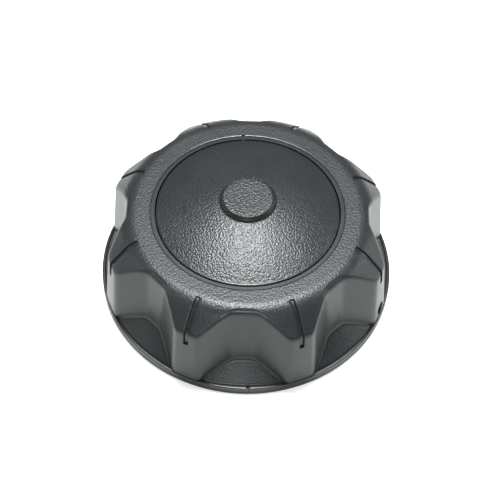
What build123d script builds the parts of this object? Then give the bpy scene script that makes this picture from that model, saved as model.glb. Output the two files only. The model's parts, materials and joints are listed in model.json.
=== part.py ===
from build123d import *

import os
from math import cos, degrees, pi, radians, sin, sqrt, tan

# Vented tank cap with a lobed grip, a ratchet and an internal thread.
# Millimetres and degrees, +Z up. The origin is the centre of the flange's underside,
# on which the cap stands when it is off its neck. The middle of one scallop faces -Y.

os.makedirs("parts", exist_ok=True)

# Vacuum valve: a poppet whose stem runs up through the pressure plate's hub
stem_radius = 1.2
stem_gap = 0.1
stem_tip_height = 0.3
hub_wall = 1.4
hub_height = 1.0
passage_count = 6
passage_radius = 0.8
passage_inset = 1.0
poppet_margin = 0.5
poppet_thickness = 1.0
vacuum_seal_margin = 0.2
vacuum_seal_gap = 0.4
vacuum_seal_thickness = 0.7
vacuum_coil_gap = 0.75
vacuum_wire_thickness = 0.4
vacuum_turns = 4.0
vacuum_spring_length = 2.5
spring_cap_margin = 0.85
spring_cap_thickness = 0.6
cap_gap = 0.02

# Pressure valve: a guided plate on a raised seat
pressure_seal_gap = 0.3
port_margin = 0.8
seat_width = 1.0
seat_height = 0.8
pressure_seal_overlap = 2.0
seal_thickness = 0.8
plate_margin = 0.4
plate_thickness = 1.4
plate_guide_length = 1.3
plate_guide_width = 3.0
plate_guide_count = 3
plate_guide_gap = 0.2
pressure_coil_inset = 1.2
pressure_wire_thickness = 0.7
pressure_turns = 3.0
valve_chamber_height = 5.0

# Valve housing, with its seal and screws
housing_bore_step = 0.5
housing_wall = 1.8
housing_floor_thickness = 1.2
housing_flange_thickness = 1.5
housing_skirt_height = 2.0
housing_gap = 0.1
ring_seal_thickness = 1.76
ring_seal_gap = 0.02
screw_count = 3
screw_radius = 1.2
screw_gap = 0.05
screw_head_radius = 2.3
screw_head_height = 1.2
screw_head_gap = 1.3
screw_edge_margin = 0.4
screw_boss_radius = 2.6
screw_boss_height = 2.5
screw_end_gap = 1.1
screw_slot_width = 0.6
screw_slot_depth = 0.7

# Valve cover, filter, grille and baffle
cover_hole_gap = 0.6
cover_thickness = 1.3
cover_port_count = 6
cover_port_radius = 1.1
cover_port_margin = 1.1
insert_gap = 0.05
grille_insert_height = 1.1
grille_flange_height = 0.6
grille_top_gap = 0.35
grille_slot_width = 1.2
grille_slot_count = 12
baffle_thickness = 0.8
baffle_ledge_width = 0.8
baffle_slot_count = 4
baffle_slot_inset = 3.0
baffle_slot_width = 1.6
baffle_slot_arc = 50.0

# Threaded closure
closure_foot_height = 1.0
closure_wall = 2.4
deck_thickness = 2.5
neck_room = 9.1
neck_chamfer_width = 0.6
thread_pitch = 5.0
thread_turns = 1.125
thread_depth = 1.8
thread_root_width = 2.6
thread_crest_width = 1.1
thread_lead_height = 2.4
thread_runout_height = 5.475
thread_break_width = 4.6
thread_break_count = 4
collar_width = 1.2
collar_height = 2.5
collar_depth = 4.2
gasket_room = 3.0
gasket_thickness = 1.8
gasket_gap = 0.2

# Ratchet: pawls on the closure, teeth inside the grip
pawl_count = 4
pawl_ring_width = 4.4
pawl_ring_height = 3.0
pawl_ring_gap = 0.6
pawl_thickness = 1.3
pawl_sweep = 34.0
pawl_tip_width = 2.6
pawl_bend_share = 0.4
pawl_room = 3.9
pawl_side_gap = 0.3
pawl_face_gap = 0.3
key_block_width = 3.8
key_block_height = 2.4
key_block_length = 2.2
key_gap = 0.1
tooth_count = 24
tooth_height = 1.4
tooth_ramp_share = 0.9
ratchet_wall = 1.3
ratchet_room = 0.9
ratchet_floor_gap = 0.4

# Thrust washer and the rib above it
washer_gap = 0.6
washer_edge_width = 0.8
washer_thickness = 1.0
rib_margin_inside = 0.8
rib_margin_outside = 1.0
rib_height = 2.45

# Running clearances between the grip and what turns inside it
turning_gap = 0.3
collar_room = 1.4

# Barbs inside the grip that carry the closure's collar
barb_gap = 0.5
barb_height = 1.5
barb_width = 8.0
barb_lead_length = 1.2

# Grip: its wall, lobes, scallops, flange and shoulder
grip_wall = 2.4
roof_wall = 2.3
roof_hole_gap = 1.8
lobe_count = 8
lobe_depth = 6.2
lobe_draft = 4.7
lobe_round_radius = 3.0
scallop_flat_width = 6.0
scallop_angle = 23.0
scallop_round_radius = 4.5
ring_inset = 2.5
shoulder_slope = 47.0
shoulder_round_radius = 7.0
edge_round_radius = 2.0
foot_round_radius = 1.8
inner_round_radius = 0.6
rim_height = 3.1
rim_margin = 0.25
rim_land_width = 0.75
rim_step_height = 0.3
shelf_slope = 45.0

# Grooves moulded along the lobes
groove_width = 1.1
groove_depth = 0.6
groove_lead_length = 1.9
groove_drop_height = 12.2

# Air outlet in the side of one lobe, and the small marks on the rim and the border
outlet_diameter = 4.4
outlet_height = 6.0
outlet_angle = -22.5
rim_notch_width = 1.2
rim_notch_depth = 0.5
rim_notch_angle = -88.0
border_notch_width = 1.0
border_notch_angle = 94.0

# Cover disc and the recess that it sits in
ring_width = 7.3
border_width = 1.1
border_depth = 0.35
disc_gap = 0.35
disc_wall = 2.0
disc_skirt_width = 1.8
disc_seat_depth = 4.6
disc_edge_round_radius = 0.4
dome_height = 4.7
dome_bulge_height = 0.4
boss_top_radius = 7.55
boss_flank_width = 0.75
boss_height = 1.35
boss_round_radius = 0.35

# Clips that hold the cover disc
clip_count = 4
clip_margin = 2.0
clip_thickness = 1.2
clip_width = 5.0
clip_barb_depth = 0.7
clip_barb_height = 1.2
clip_gap = 0.3

# How far a cutting form runs past the face that it cuts
overrun_length = 1.0

# Angles and slopes
pitch_angle = 360.0 / lobe_count
tooth_pitch = 360.0 / tooth_count
front_angle = -90.0
first_lobe_angle = front_angle + pitch_angle / 2
draft_run = tan(radians(lobe_draft))
shelf_run = tan(radians(shelf_slope))
shoulder_run = tan(radians(shoulder_slope))

# Radii, from the valve's stem out to the housing
hub_radius = stem_radius + hub_wall
passage_circle_radius = hub_radius + passage_inset
poppet_radius = passage_circle_radius + passage_radius + poppet_margin
vacuum_seal_inner_radius = stem_radius + vacuum_seal_gap
vacuum_seal_outer_radius = poppet_radius - vacuum_seal_margin
vacuum_coil_radius = stem_radius + vacuum_coil_gap
spring_cap_radius = vacuum_coil_radius + spring_cap_margin
cover_hole_radius = spring_cap_radius + cover_hole_gap
cover_port_circle_radius = cover_hole_radius + cover_port_radius + cover_port_margin
pressure_seal_inner_radius = poppet_radius + pressure_seal_gap
port_radius = pressure_seal_inner_radius + port_margin
pressure_seal_outer_radius = port_radius + seat_width + pressure_seal_overlap
plate_radius = pressure_seal_outer_radius + plate_margin
plate_guide_radius = plate_radius + plate_guide_length
pressure_coil_radius = plate_radius - pressure_coil_inset
housing_bore_radius = plate_guide_radius + plate_guide_gap
housing_top_bore_radius = housing_bore_radius + housing_bore_step
housing_radius = housing_top_bore_radius + housing_wall
deck_hole_radius = housing_radius + housing_gap
seal_pocket_radius = housing_radius + ring_seal_thickness + 2 * ring_seal_gap
screw_circle_radius = housing_radius + screw_head_radius + screw_head_gap
housing_flange_radius = screw_circle_radius + screw_head_radius + screw_edge_margin

# Radii, from the housing out to the ratchet, and from the neck's thread out to the collar
washer_inner_radius = screw_circle_radius + screw_boss_radius + washer_gap
pawl_ring_inner_radius = washer_inner_radius + pawl_ring_gap
pawl_ring_outer_radius = pawl_ring_inner_radius + pawl_ring_width
washer_outer_radius = pawl_ring_outer_radius - washer_edge_width
rib_inner_radius = washer_inner_radius + rib_margin_inside
rib_outer_radius = washer_outer_radius - rib_margin_outside
tooth_tip_radius = pawl_ring_outer_radius + pawl_room
tooth_root_radius = tooth_tip_radius + tooth_height
ratchet_outer_radius = tooth_root_radius + ratchet_wall
gasket_inner_radius = housing_flange_radius + gasket_room
crest_radius = housing_flange_radius + neck_room
bore_radius = crest_radius + thread_depth
closure_radius = bore_radius + closure_wall
collar_radius = closure_radius + collar_width
barb_radius = closure_radius + barb_gap

# Heights, from the closure's foot up to the grip's ring
thread_first = closure_foot_height + thread_lead_height
thread_rise = thread_turns * thread_pitch
deck_floor = thread_first + thread_rise + thread_runout_height
deck_top = deck_floor + deck_thickness
collar_bottom = deck_floor - collar_depth
collar_top = collar_bottom + collar_height
barb_top = collar_bottom - turning_gap
ratchet_bottom = deck_top + ratchet_floor_gap
pawl_top = deck_top + pawl_ring_height
washer_top = pawl_top + washer_thickness
rib_bottom = washer_top + turning_gap
roof_under = rib_bottom + rib_height
well_floor = roof_under + roof_wall
border_height = well_floor + disc_seat_depth
ring_height = border_height + border_depth
boss_foot = border_height + dome_height
boss_top = boss_foot + boss_height

# Heights inside the valve housing
housing_floor = deck_floor - housing_flange_thickness
housing_bottom = housing_floor - housing_skirt_height
housing_top = border_height - grille_flange_height - grille_top_gap
floor_top = housing_floor + housing_floor_thickness
seat_top = floor_top + seat_height
plate_bottom = seat_top + seal_thickness
plate_top = plate_bottom + plate_thickness
hub_top = plate_top + hub_height
cover_bottom = plate_top + valve_chamber_height
cover_top = cover_bottom + cover_thickness
filter_top = housing_top - grille_insert_height
poppet_top = plate_bottom - vacuum_seal_thickness
poppet_bottom = poppet_top - poppet_thickness
spring_cap_bottom = hub_top + vacuum_spring_length
spring_cap_top = spring_cap_bottom + spring_cap_thickness
baffle_top = housing_bottom + baffle_thickness

# Radii of the grip: its scallops clear the collar below and the ratchet above
collar_draft = (collar_top - rim_height) * draft_run
ratchet_draft = (ring_height - rim_height) * draft_run
scallop_radius = grip_wall + max(
    collar_radius + collar_room + collar_draft, ratchet_outer_radius + ratchet_room + ratchet_draft
)
lobe_radius = scallop_radius + lobe_depth
flange_radius = lobe_radius + rim_margin
rim_inner_radius = flange_radius - grip_wall
shelf_radius = flange_radius - rim_land_width
shelf_height = rim_height - rim_step_height
ring_radius = scallop_radius - ring_inset
border_radius = ring_radius - ring_width
well_radius = border_radius - border_width
disc_radius = well_radius - disc_gap
boss_base_radius = boss_top_radius + boss_flank_width
roof_hole_radius = housing_radius + roof_hole_gap
clip_radius = roof_hole_radius + clip_margin
groove_start_radius = ring_radius - groove_lead_length
groove_foot_height = ring_height - groove_drop_height
lobe_foot_height = rim_height - overrun_length
outline_reach = 2 * flange_radius


def write(piece, name):
    """Label a finished piece and write it under its own name."""
    piece.part.label = name
    export_step(piece.part, f"parts/{name}.step")


def lobed_section(height, inset, tip_round, root_round):
    """The lobed outline at a height, moved inwards by inset."""
    shift = (height - rim_height) * draft_run + inset
    lobe = lobe_radius - shift
    flat = scallop_radius - shift
    half = scallop_flat_width / 2 + shift * tan(radians(scallop_angle / 2))
    along = cos(radians(scallop_angle))
    across = sin(radians(scallop_angle))
    lean = half * along + flat * across
    side = sqrt(lean**2 + lobe**2 - half**2 - flat**2) - lean
    tip = (half + side * along, flat + side * across)
    corners = [tip, (half, flat), (-half, flat), (-tip[0], tip[1])]
    root_reach = Vector(half, flat).length
    with BuildSketch(Plane.XY.offset(height)) as section:
        with BuildLine():
            for number in range(lobe_count):
                turn = 180.0 + number * pitch_angle
                spots = [Vector(x, y).rotate(Axis.Z, turn) for x, y in corners]
                middle = Vector(0, lobe).rotate(Axis.Z, turn + pitch_angle / 2)
                after = Vector(*tip).rotate(Axis.Z, turn + pitch_angle)
                Polyline(*spots)
                ThreePointArc(spots[-1], middle, after)
        make_face()
        for reach, corner_round in ((root_reach, root_round), (lobe, tip_round)):
            corner = section.vertices().filter_by(
                lambda v: abs(Vector(v.X, v.Y).length - reach) < 0.01
            )
            fillet(corner, radius=corner_round)
    return section.sketch.face()


def lobed_pair(inset, foot, top):
    """The lobed outlines at the foot and at the top of a drafted wall."""
    tip_round = max(lobe_round_radius - inset, inner_round_radius)
    root_round = scallop_round_radius + inset
    return [lobed_section(height, inset, tip_round, root_round) for height in (foot, top)]


def vertices_near(sketch, radius, height):
    """The vertices of an upright profile that lie at a radius and a height."""
    return sketch.vertices().filter_by(lambda v: abs(v.X - radius) < 0.01 and abs(v.Y - height) < 0.01)


def disc_surface(radius):
    """Height of the straight line from the disc's edge to the foot of its boss."""
    return border_height + dome_height * (disc_radius - radius) / (disc_radius - boss_base_radius)


# Outer form of the grip: drafted lobes under a sloping shoulder, with the edge rounded
with BuildPart() as grip_form:
    loft(lobed_pair(0.0, lobe_foot_height, ring_height), ruled=True)
    with BuildSketch(Plane.XZ) as crown:
        Polygon(
            (0, 0),
            (outline_reach, 0),
            (outline_reach, ring_height - (outline_reach - ring_radius) * shoulder_run),
            (ring_radius, ring_height),
            (0, ring_height),
            align=None,
        )
        fillet(vertices_near(crown, ring_radius, ring_height), radius=shoulder_round_radius)
    revolve(axis=Axis.Z, mode=Mode.INTERSECT)
    crown_faces = grip_form.faces().filter_by(lambda f: f.normal_at().Z > 0.5)
    wall_faces = grip_form.faces().filter_by(lambda f: abs(f.normal_at().Z) <= 0.5)
    fillet(crown_faces.edges() & wall_faces.edges(), radius=edge_round_radius)

# Hollow of the grip, one wall's thickness inside its outer form
inner_slope_drop = grip_wall / cos(radians(shoulder_slope))
shelf_drop = grip_wall / cos(radians(shelf_slope))
under_shoulder = ring_height - inner_slope_drop
inner_ring_radius = ring_radius - (inner_slope_drop - grip_wall) / shoulder_run
well_outer = border_radius + grip_wall
with BuildPart() as grip_hollow:
    loft(lobed_pair(grip_wall, -overrun_length, ring_height), ruled=True)
    with BuildSketch(Plane.XZ):
        Polygon(
            (0, -overrun_length),
            (rim_inner_radius, -overrun_length),
            (rim_inner_radius, under_shoulder - (rim_inner_radius - ring_radius) * shoulder_run),
            (inner_ring_radius, ring_height - grip_wall),
            (well_outer, ring_height - grip_wall),
            (well_outer, roof_under),
            (0, roof_under),
            align=None,
        )
    revolve(axis=Axis.Z, mode=Mode.INTERSECT)
    with BuildSketch(Plane.XZ):
        Polygon(
            (0, -overrun_length),
            (rim_inner_radius, -overrun_length),
            (rim_inner_radius, shelf_height - shelf_drop + (shelf_radius - rim_inner_radius) * shelf_run),
            (closure_radius, shelf_height - shelf_drop + (shelf_radius - closure_radius) * shelf_run),
            (0, shelf_height - shelf_drop + (shelf_radius - closure_radius) * shelf_run),
            align=None,
        )
    revolve(axis=Axis.Z)

# Depth tool for the grooves: a thin plate whose edge runs a groove's depth under the surface
groove_slope_drop = groove_depth / cos(radians(shoulder_slope))
groove_bend = ring_radius - (groove_slope_drop - groove_depth) / shoulder_run
groove_lean = radians(lobe_draft)
lobe_at_ring = lobe_radius - (ring_height - rim_height) * draft_run
groove_wall_at_ring = lobe_at_ring - groove_depth / cos(groove_lean)
groove_edge_rise = (groove_wall_at_ring - groove_bend) * shoulder_run / (1 - draft_run * shoulder_run)
groove_edge = groove_wall_at_ring + groove_edge_rise * draft_run
groove_floor = ring_height - groove_depth
groove_edge_height = groove_floor - (groove_edge - groove_bend) * shoulder_run
groove_foot_radius = groove_wall_at_ring + (ring_height - groove_foot_height) * draft_run
with BuildPart() as groove_tool:
    with BuildSketch(Plane.XZ) as groove_side:
        Polygon(
            (groove_bend - shoulder_round_radius, groove_floor),
            (groove_bend, groove_floor),
            (groove_edge, groove_edge_height),
            (groove_foot_radius, groove_foot_height),
            (outline_reach, groove_foot_height),
            (outline_reach, ring_height + overrun_length),
            (groove_bend - shoulder_round_radius, ring_height + overrun_length),
            align=None,
        )
        fillet(vertices_near(groove_side, groove_edge, groove_edge_height), radius=edge_round_radius)
        fillet(
            vertices_near(groove_side, groove_bend, groove_floor),
            radius=shoulder_round_radius - groove_depth,
        )
    extrude(amount=groove_width, both=True)
    with BuildSketch():
        with Locations((groove_start_radius + groove_width / 2, 0)):
            Circle(groove_width / 2)
            Rectangle(outline_reach, groove_width, align=(Align.MIN, Align.CENTER))
    extrude(amount=outline_reach, mode=Mode.INTERSECT)

# One barb of the ring of barbs that carries the closure's collar
barb_outer = scallop_radius - (barb_top - rim_height) * draft_run - grip_wall / 2
with BuildPart() as barb:
    with BuildSketch(Plane.XZ):
        Polygon(
            (barb_radius, barb_top),
            (barb_radius, barb_top - barb_height / 2),
            (barb_radius + barb_lead_length, barb_top - barb_height),
            (barb_outer, barb_top - barb_height),
            (barb_outer, barb_top),
            align=None,
        )
    extrude(amount=barb_width / 2, both=True)

# Grip cover: the outer moulding with its flange, grooves, disc recess, ratchet teeth and barbs
tooth_outline = [
    Vector(radius, 0).rotate(Axis.Z, (number + share) * tooth_pitch)
    for number in range(tooth_count)
    for radius, share in ((tooth_tip_radius, 0.0), (tooth_root_radius, tooth_ramp_share))
]
outlet_direction = Vector(1, 0).rotate(Axis.Z, outlet_angle)
outlet_origin = outlet_direction * (lobe_radius - 2 * grip_wall) + Vector(0, 0, outlet_height)
clip_outer = clip_radius + clip_thickness
with BuildPart() as grip_cover:
    add(grip_form.part)
    with BuildSketch(Plane.XZ):
        Polygon(
            (0, 0),
            (flange_radius, 0),
            (flange_radius, rim_height),
            (shelf_radius, rim_height),
            (shelf_radius, shelf_height),
            (closure_radius, shelf_height + (shelf_radius - closure_radius) * shelf_run),
            (0, shelf_height + (shelf_radius - closure_radius) * shelf_run),
            align=None,
        )
    revolve(axis=Axis.Z)

    # Rounding where each scallop meets its shelf
    shelf_lean = cos(radians(shelf_slope))
    low_faces = grip_cover.faces().filter_by(lambda f: f.center().Z < ring_height / 2)
    shelf_faces = low_faces.filter_by(lambda f: abs(f.normal_at().Z - shelf_lean) < 0.02)
    wall_faces = grip_cover.faces().filter_by(lambda f: abs(f.normal_at().Z) < 0.5)
    foot_edges = shelf_faces.edges() & wall_faces.edges()
    fillet(foot_edges.filter_by(lambda e: e.center().Z > rim_height), radius=foot_round_radius)
    add(grip_hollow.part, mode=Mode.SUBTRACT)

    # Recess for the cover disc, with a lowered border round it
    with BuildSketch(Plane.XZ):
        Polygon(
            (0, well_floor),
            (well_radius, well_floor),
            (well_radius, border_height),
            (border_radius, border_height),
            (border_radius, ring_height + overrun_length),
            (0, ring_height + overrun_length),
            align=None,
        )
    revolve(axis=Axis.Z, mode=Mode.SUBTRACT)
    with BuildSketch(Plane.XY.offset(border_height - border_depth)):
        with PolarLocations(well_radius + border_width / 2, 1, start_angle=border_notch_angle):
            Rectangle(2 * border_width, border_notch_width)
    extrude(amount=2 * border_depth, mode=Mode.SUBTRACT)

    # Hole in the roof for the valve housing, and the windows for the disc's clips
    with BuildSketch(Plane.XY.offset(roof_under - overrun_length)):
        Circle(roof_hole_radius)
        with PolarLocations(clip_radius - clip_gap, clip_count):
            Rectangle(
                clip_thickness + clip_barb_depth + 3 * clip_gap,
                clip_width + 2 * clip_gap,
                align=(Align.MIN, Align.CENTER),
            )
    extrude(amount=roof_wall + 2 * overrun_length, mode=Mode.SUBTRACT)

    # Grooves down the lobes, the air outlet and the notch in the rim
    with PolarLocations(0, lobe_count, start_angle=first_lobe_angle):
        add(groove_tool.part, mode=Mode.SUBTRACT)
    with BuildSketch(Plane(origin=outlet_origin, z_dir=outlet_direction)):
        Circle(outlet_diameter / 2)
    extrude(amount=3 * grip_wall, mode=Mode.SUBTRACT)
    with BuildSketch(Plane.XY.offset(rim_height - rim_notch_depth)):
        with PolarLocations(flange_radius, 1, start_angle=rim_notch_angle):
            Rectangle(2 * rim_land_width + rim_notch_depth, rim_notch_width)
    extrude(amount=2 * rim_notch_depth, mode=Mode.SUBTRACT)

    # Ratchet ring under the roof
    with BuildSketch(Plane.XY.offset(ratchet_bottom)):
        Circle(ratchet_outer_radius)
        Polygon(*tooth_outline, align=None, mode=Mode.SUBTRACT)
    extrude(amount=ring_height - 2 * grip_wall / 3 - ratchet_bottom)

    # Rib over the thrust washer
    with BuildSketch(Plane.XY.offset(rib_bottom)):
        Circle(rib_outer_radius)
        Circle(rib_inner_radius, mode=Mode.SUBTRACT)
    extrude(amount=rib_height + roof_wall / 2)

    # Barbs under the closure's collar, one at the middle of each scallop
    with PolarLocations(0, lobe_count, start_angle=front_angle):
        add(barb.part)

write(grip_cover, "grip_cover")

# Cover disc: a shallow dome with a moulded boss, a skirt and clips that snap through the roof
dome_middle = (disc_radius + boss_base_radius) / 2
skirt_radius = disc_radius - disc_skirt_width
boss_core_radius = boss_top_radius - disc_wall
barb_under_roof = roof_under - clip_gap
with BuildPart() as disc_clip:
    with BuildSketch(Plane.XZ):
        Polygon(
            (clip_radius, barb_under_roof - clip_barb_height),
            (clip_outer, barb_under_roof - clip_barb_height),
            (clip_outer + clip_barb_depth, barb_under_roof - clip_barb_depth / 2),
            (clip_outer + clip_barb_depth, barb_under_roof),
            (clip_outer, barb_under_roof),
            (clip_outer, disc_surface(clip_outer) - disc_wall / 2),
            (clip_radius, disc_surface(clip_radius) - disc_wall / 2),
            align=None,
        )
    extrude(amount=clip_width / 2, both=True)

with BuildPart() as cover_disc:
    with BuildSketch(Plane.XZ) as disc_profile:
        with BuildLine():
            Polyline((0, boss_top), (boss_top_radius, boss_top), (boss_base_radius, boss_foot))
            ThreePointArc(
                (boss_base_radius, boss_foot),
                (dome_middle, disc_surface(dome_middle) + dome_bulge_height),
                (disc_radius, border_height),
            )
            Polyline(
                (disc_radius, border_height),
                (disc_radius, well_floor),
                (skirt_radius, well_floor),
                (skirt_radius, disc_surface(skirt_radius) - disc_wall),
            )
            ThreePointArc(
                (skirt_radius, disc_surface(skirt_radius) - disc_wall),
                (dome_middle, disc_surface(dome_middle) + dome_bulge_height - disc_wall),
                (boss_base_radius, boss_foot - disc_wall),
            )
            Polyline(
                (boss_base_radius, boss_foot - disc_wall),
                (boss_core_radius, boss_top - disc_wall),
                (0, boss_top - disc_wall),
                (0, boss_top),
            )
        make_face()
        fillet(vertices_near(disc_profile, boss_top_radius, boss_top), radius=boss_round_radius)
        fillet(vertices_near(disc_profile, disc_radius, border_height), radius=disc_edge_round_radius)
    revolve(axis=Axis.Z)
    with PolarLocations(0, clip_count):
        add(disc_clip.part)

write(cover_disc, "cover_disc")

# Internal thread, broken into segments so that air and dirt can pass
thread_flank = (thread_root_width - thread_crest_width) / 2 / thread_depth
thread_sink = closure_wall / 4
with BuildPart() as thread_form:
    with BuildLine() as thread_path:
        Helix(
            pitch=thread_pitch,
            height=thread_rise,
            radius=bore_radius,
            center=(0, 0, thread_first),
        )
    thread_start = Plane(
        origin=thread_path.line @ 0, x_dir=(1, 0, 0), z_dir=thread_path.line % 0
    )
    with BuildSketch(thread_start):
        root_half = thread_root_width / 2 + thread_sink * thread_flank
        crest_half = thread_crest_width / 2 - thread_sink * thread_flank
        Polygon(
            (thread_sink, -root_half),
            (thread_sink, root_half),
            (-thread_depth - thread_sink, crest_half),
            (-thread_depth - thread_sink, -crest_half),
            align=None,
        )
    sweep(path=thread_path.line, is_frenet=True)
    with BuildSketch(Plane.XY):
        Circle(crest_radius)
        with PolarLocations(bore_radius, thread_break_count, start_angle=180 / thread_break_count):
            Rectangle(3 * thread_depth, thread_break_width)
    extrude(amount=deck_floor, mode=Mode.SUBTRACT)

# Threaded closure: the inner cap that screws onto the neck
with BuildPart() as threaded_closure:
    with BuildSketch(Plane.XZ):
        Polygon(
            (bore_radius + neck_chamfer_width, closure_foot_height),
            (closure_radius, closure_foot_height),
            (closure_radius, collar_bottom),
            (collar_radius, collar_bottom),
            (collar_radius, collar_top),
            (closure_radius, collar_top),
            (closure_radius, deck_top),
            (deck_hole_radius, deck_top),
            (deck_hole_radius, deck_floor + ring_seal_thickness),
            (seal_pocket_radius, deck_floor + ring_seal_thickness),
            (seal_pocket_radius, deck_floor),
            (bore_radius, deck_floor),
            (bore_radius, closure_foot_height + neck_chamfer_width),
            align=None,
        )
    revolve(axis=Axis.Z)
    add(thread_form.part)

    # Bosses for the screws, and the blocks that key the pawl ring
    with BuildSketch(Plane.XY.offset(deck_top)):
        with PolarLocations(screw_circle_radius, screw_count, start_angle=front_angle):
            Circle(screw_boss_radius)
    extrude(amount=screw_boss_height)
    with BuildSketch(Plane.XY.offset(deck_top)):
        with PolarLocations(pawl_ring_inner_radius - key_gap, pawl_count, start_angle=pitch_angle / 2):
            Rectangle(key_block_length, key_block_width)
    extrude(amount=key_block_height)
    with BuildSketch(Plane.XY.offset(deck_floor)):
        with PolarLocations(screw_circle_radius, screw_count, start_angle=front_angle):
            Circle(screw_radius + screw_gap)
    extrude(amount=deck_thickness + screw_boss_height - closure_wall / 3, mode=Mode.SUBTRACT)

write(threaded_closure, "threaded_closure")

# Pawl ring: it lies on the deck, keyed to it, and its springy arms reach the ratchet teeth
pawl_root_radius = pawl_ring_outer_radius - pawl_thickness / 2
tip_share = tooth_ramp_share - pawl_side_gap / tooth_tip_radius * tooth_count / (2 * pi)
tip_angle = tip_share * tooth_pitch
tip_back = degrees(pawl_tip_width / tooth_root_radius)


def ramp_radius(angle):
    """Radius at which a tooth's straight ramp lies at an angle past its tip."""
    whole = radians(tooth_ramp_share * tooth_pitch)
    part = radians(angle)
    across = tooth_tip_radius * sin(part) + tooth_root_radius * sin(whole - part)
    return tooth_tip_radius * tooth_root_radius * sin(whole) / across


def polar(radius, angle):
    """A plan point at a radius and an angle."""
    return Vector(radius, 0).rotate(Axis.Z, angle)


pawl_outer_tip = ramp_radius(tip_angle) - pawl_face_gap
pawl_outer_heel = ramp_radius(tip_angle - tip_back) - pawl_face_gap
bend_radius = pawl_root_radius + pawl_bend_share * (pawl_outer_heel - pawl_root_radius)
with BuildPart() as pawl_ring:
    with BuildSketch(Plane.XY.offset(deck_top)):
        Circle(pawl_ring_outer_radius)
        Circle(pawl_ring_inner_radius, mode=Mode.SUBTRACT)
        with PolarLocations(pawl_ring_inner_radius, pawl_count, start_angle=pitch_angle / 2):
            Rectangle(
                key_block_length + 2 * key_gap,
                key_block_width + 2 * key_gap,
                mode=Mode.SUBTRACT,
            )
    extrude(amount=pawl_ring_height)
    with BuildSketch(Plane.XY.offset(ratchet_bottom)):
        for number in range(pawl_count):
            turn = number * 360.0 / pawl_count
            root = turn + tip_angle - pawl_sweep
            bend = turn + tip_angle - pawl_sweep / 2
            heel = turn + tip_angle - tip_back
            tip = turn + tip_angle
            with BuildLine():
                ThreePointArc(
                    polar(pawl_root_radius, root),
                    polar(bend_radius + pawl_thickness / 2, bend),
                    polar(pawl_outer_heel, heel),
                )
                Polyline(
                    polar(pawl_outer_heel, heel),
                    polar(pawl_outer_tip, tip),
                    polar(pawl_outer_tip - tooth_height - pawl_thickness / 2, tip),
                    polar(pawl_outer_heel - pawl_thickness, heel),
                )
                ThreePointArc(
                    polar(pawl_outer_heel - pawl_thickness, heel),
                    polar(bend_radius - pawl_thickness / 2, bend),
                    polar(pawl_root_radius - pawl_thickness, root),
                )
                Line(polar(pawl_root_radius - pawl_thickness, root), polar(pawl_root_radius, root))
            make_face()
    extrude(amount=pawl_top - ratchet_bottom)

write(pawl_ring, "pawl_ring")

# Thrust washer on the pawl ring
with BuildPart() as thrust_washer:
    with BuildSketch(Plane.XY.offset(pawl_top)):
        Circle(washer_outer_radius)
        Circle(washer_inner_radius, mode=Mode.SUBTRACT)
    extrude(amount=washer_thickness)

write(thrust_washer, "thrust_washer")

# Neck gasket under the deck
with BuildPart() as neck_gasket:
    with BuildSketch(Plane.XY.offset(deck_floor - gasket_thickness)):
        Circle(bore_radius - gasket_gap)
        Circle(gasket_inner_radius, mode=Mode.SUBTRACT)
    extrude(amount=gasket_thickness)

write(neck_gasket, "neck_gasket")

# Valve housing: a tube through the deck, with a flange under it and a ported floor
with BuildPart() as valve_housing:
    with BuildSketch(Plane.XZ):
        Polygon(
            (housing_top_bore_radius, housing_bottom),
            (housing_radius, housing_bottom),
            (housing_radius, housing_floor),
            (housing_flange_radius, housing_floor),
            (housing_flange_radius, deck_floor),
            (housing_radius, deck_floor),
            (housing_radius, housing_top),
            (housing_top_bore_radius, housing_top),
            (housing_top_bore_radius, cover_bottom),
            (housing_bore_radius, cover_bottom),
            (housing_bore_radius, floor_top),
            (port_radius + seat_width, floor_top),
            (port_radius + seat_width, seat_top),
            (port_radius, seat_top),
            (port_radius, housing_floor),
            (housing_top_bore_radius - baffle_ledge_width, housing_floor),
            (housing_top_bore_radius - baffle_ledge_width, baffle_top),
            (housing_top_bore_radius, baffle_top),
            align=None,
        )
    revolve(axis=Axis.Z)
    with BuildSketch(Plane.XY.offset(housing_floor)):
        with PolarLocations(screw_circle_radius, screw_count, start_angle=front_angle):
            Circle(screw_radius + 2 * screw_gap)
    extrude(amount=deck_floor - housing_floor, mode=Mode.SUBTRACT)

write(valve_housing, "valve_housing")

# Ring seal between the housing's tube and the deck
with BuildPart() as housing_seal:
    with BuildSketch(Plane.XZ):
        seal_middle = housing_radius + ring_seal_gap + ring_seal_thickness / 2
        with Locations((seal_middle, deck_floor + ring_seal_thickness / 2)):
            Circle(ring_seal_thickness / 2)
    revolve(axis=Axis.Z)

write(housing_seal, "housing_seal")

# Screws that hold the housing up to the deck
screw_length = housing_flange_thickness + deck_thickness + screw_boss_height - screw_end_gap
with BuildPart() as housing_screws:
    with BuildSketch(Plane.XY.offset(housing_floor - screw_head_height)):
        with PolarLocations(screw_circle_radius, screw_count, start_angle=front_angle):
            Circle(screw_head_radius)
    extrude(amount=screw_head_height)
    screw_rims = housing_screws.edges().group_by(Axis.Z)[0]
    fillet(screw_rims, radius=screw_head_height / 3)
    with BuildSketch(Plane.XY.offset(housing_floor)):
        with PolarLocations(screw_circle_radius, screw_count, start_angle=front_angle):
            Circle(screw_radius)
    extrude(amount=screw_length)
    with BuildSketch(Plane.XY.offset(housing_floor - screw_head_height)):
        with PolarLocations(screw_circle_radius, screw_count, start_angle=front_angle):
            Rectangle(screw_head_radius, screw_slot_width)
            Rectangle(screw_slot_width, screw_head_radius)
    extrude(amount=screw_slot_depth, mode=Mode.SUBTRACT)

write(housing_screws, "housing_screws")

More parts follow.
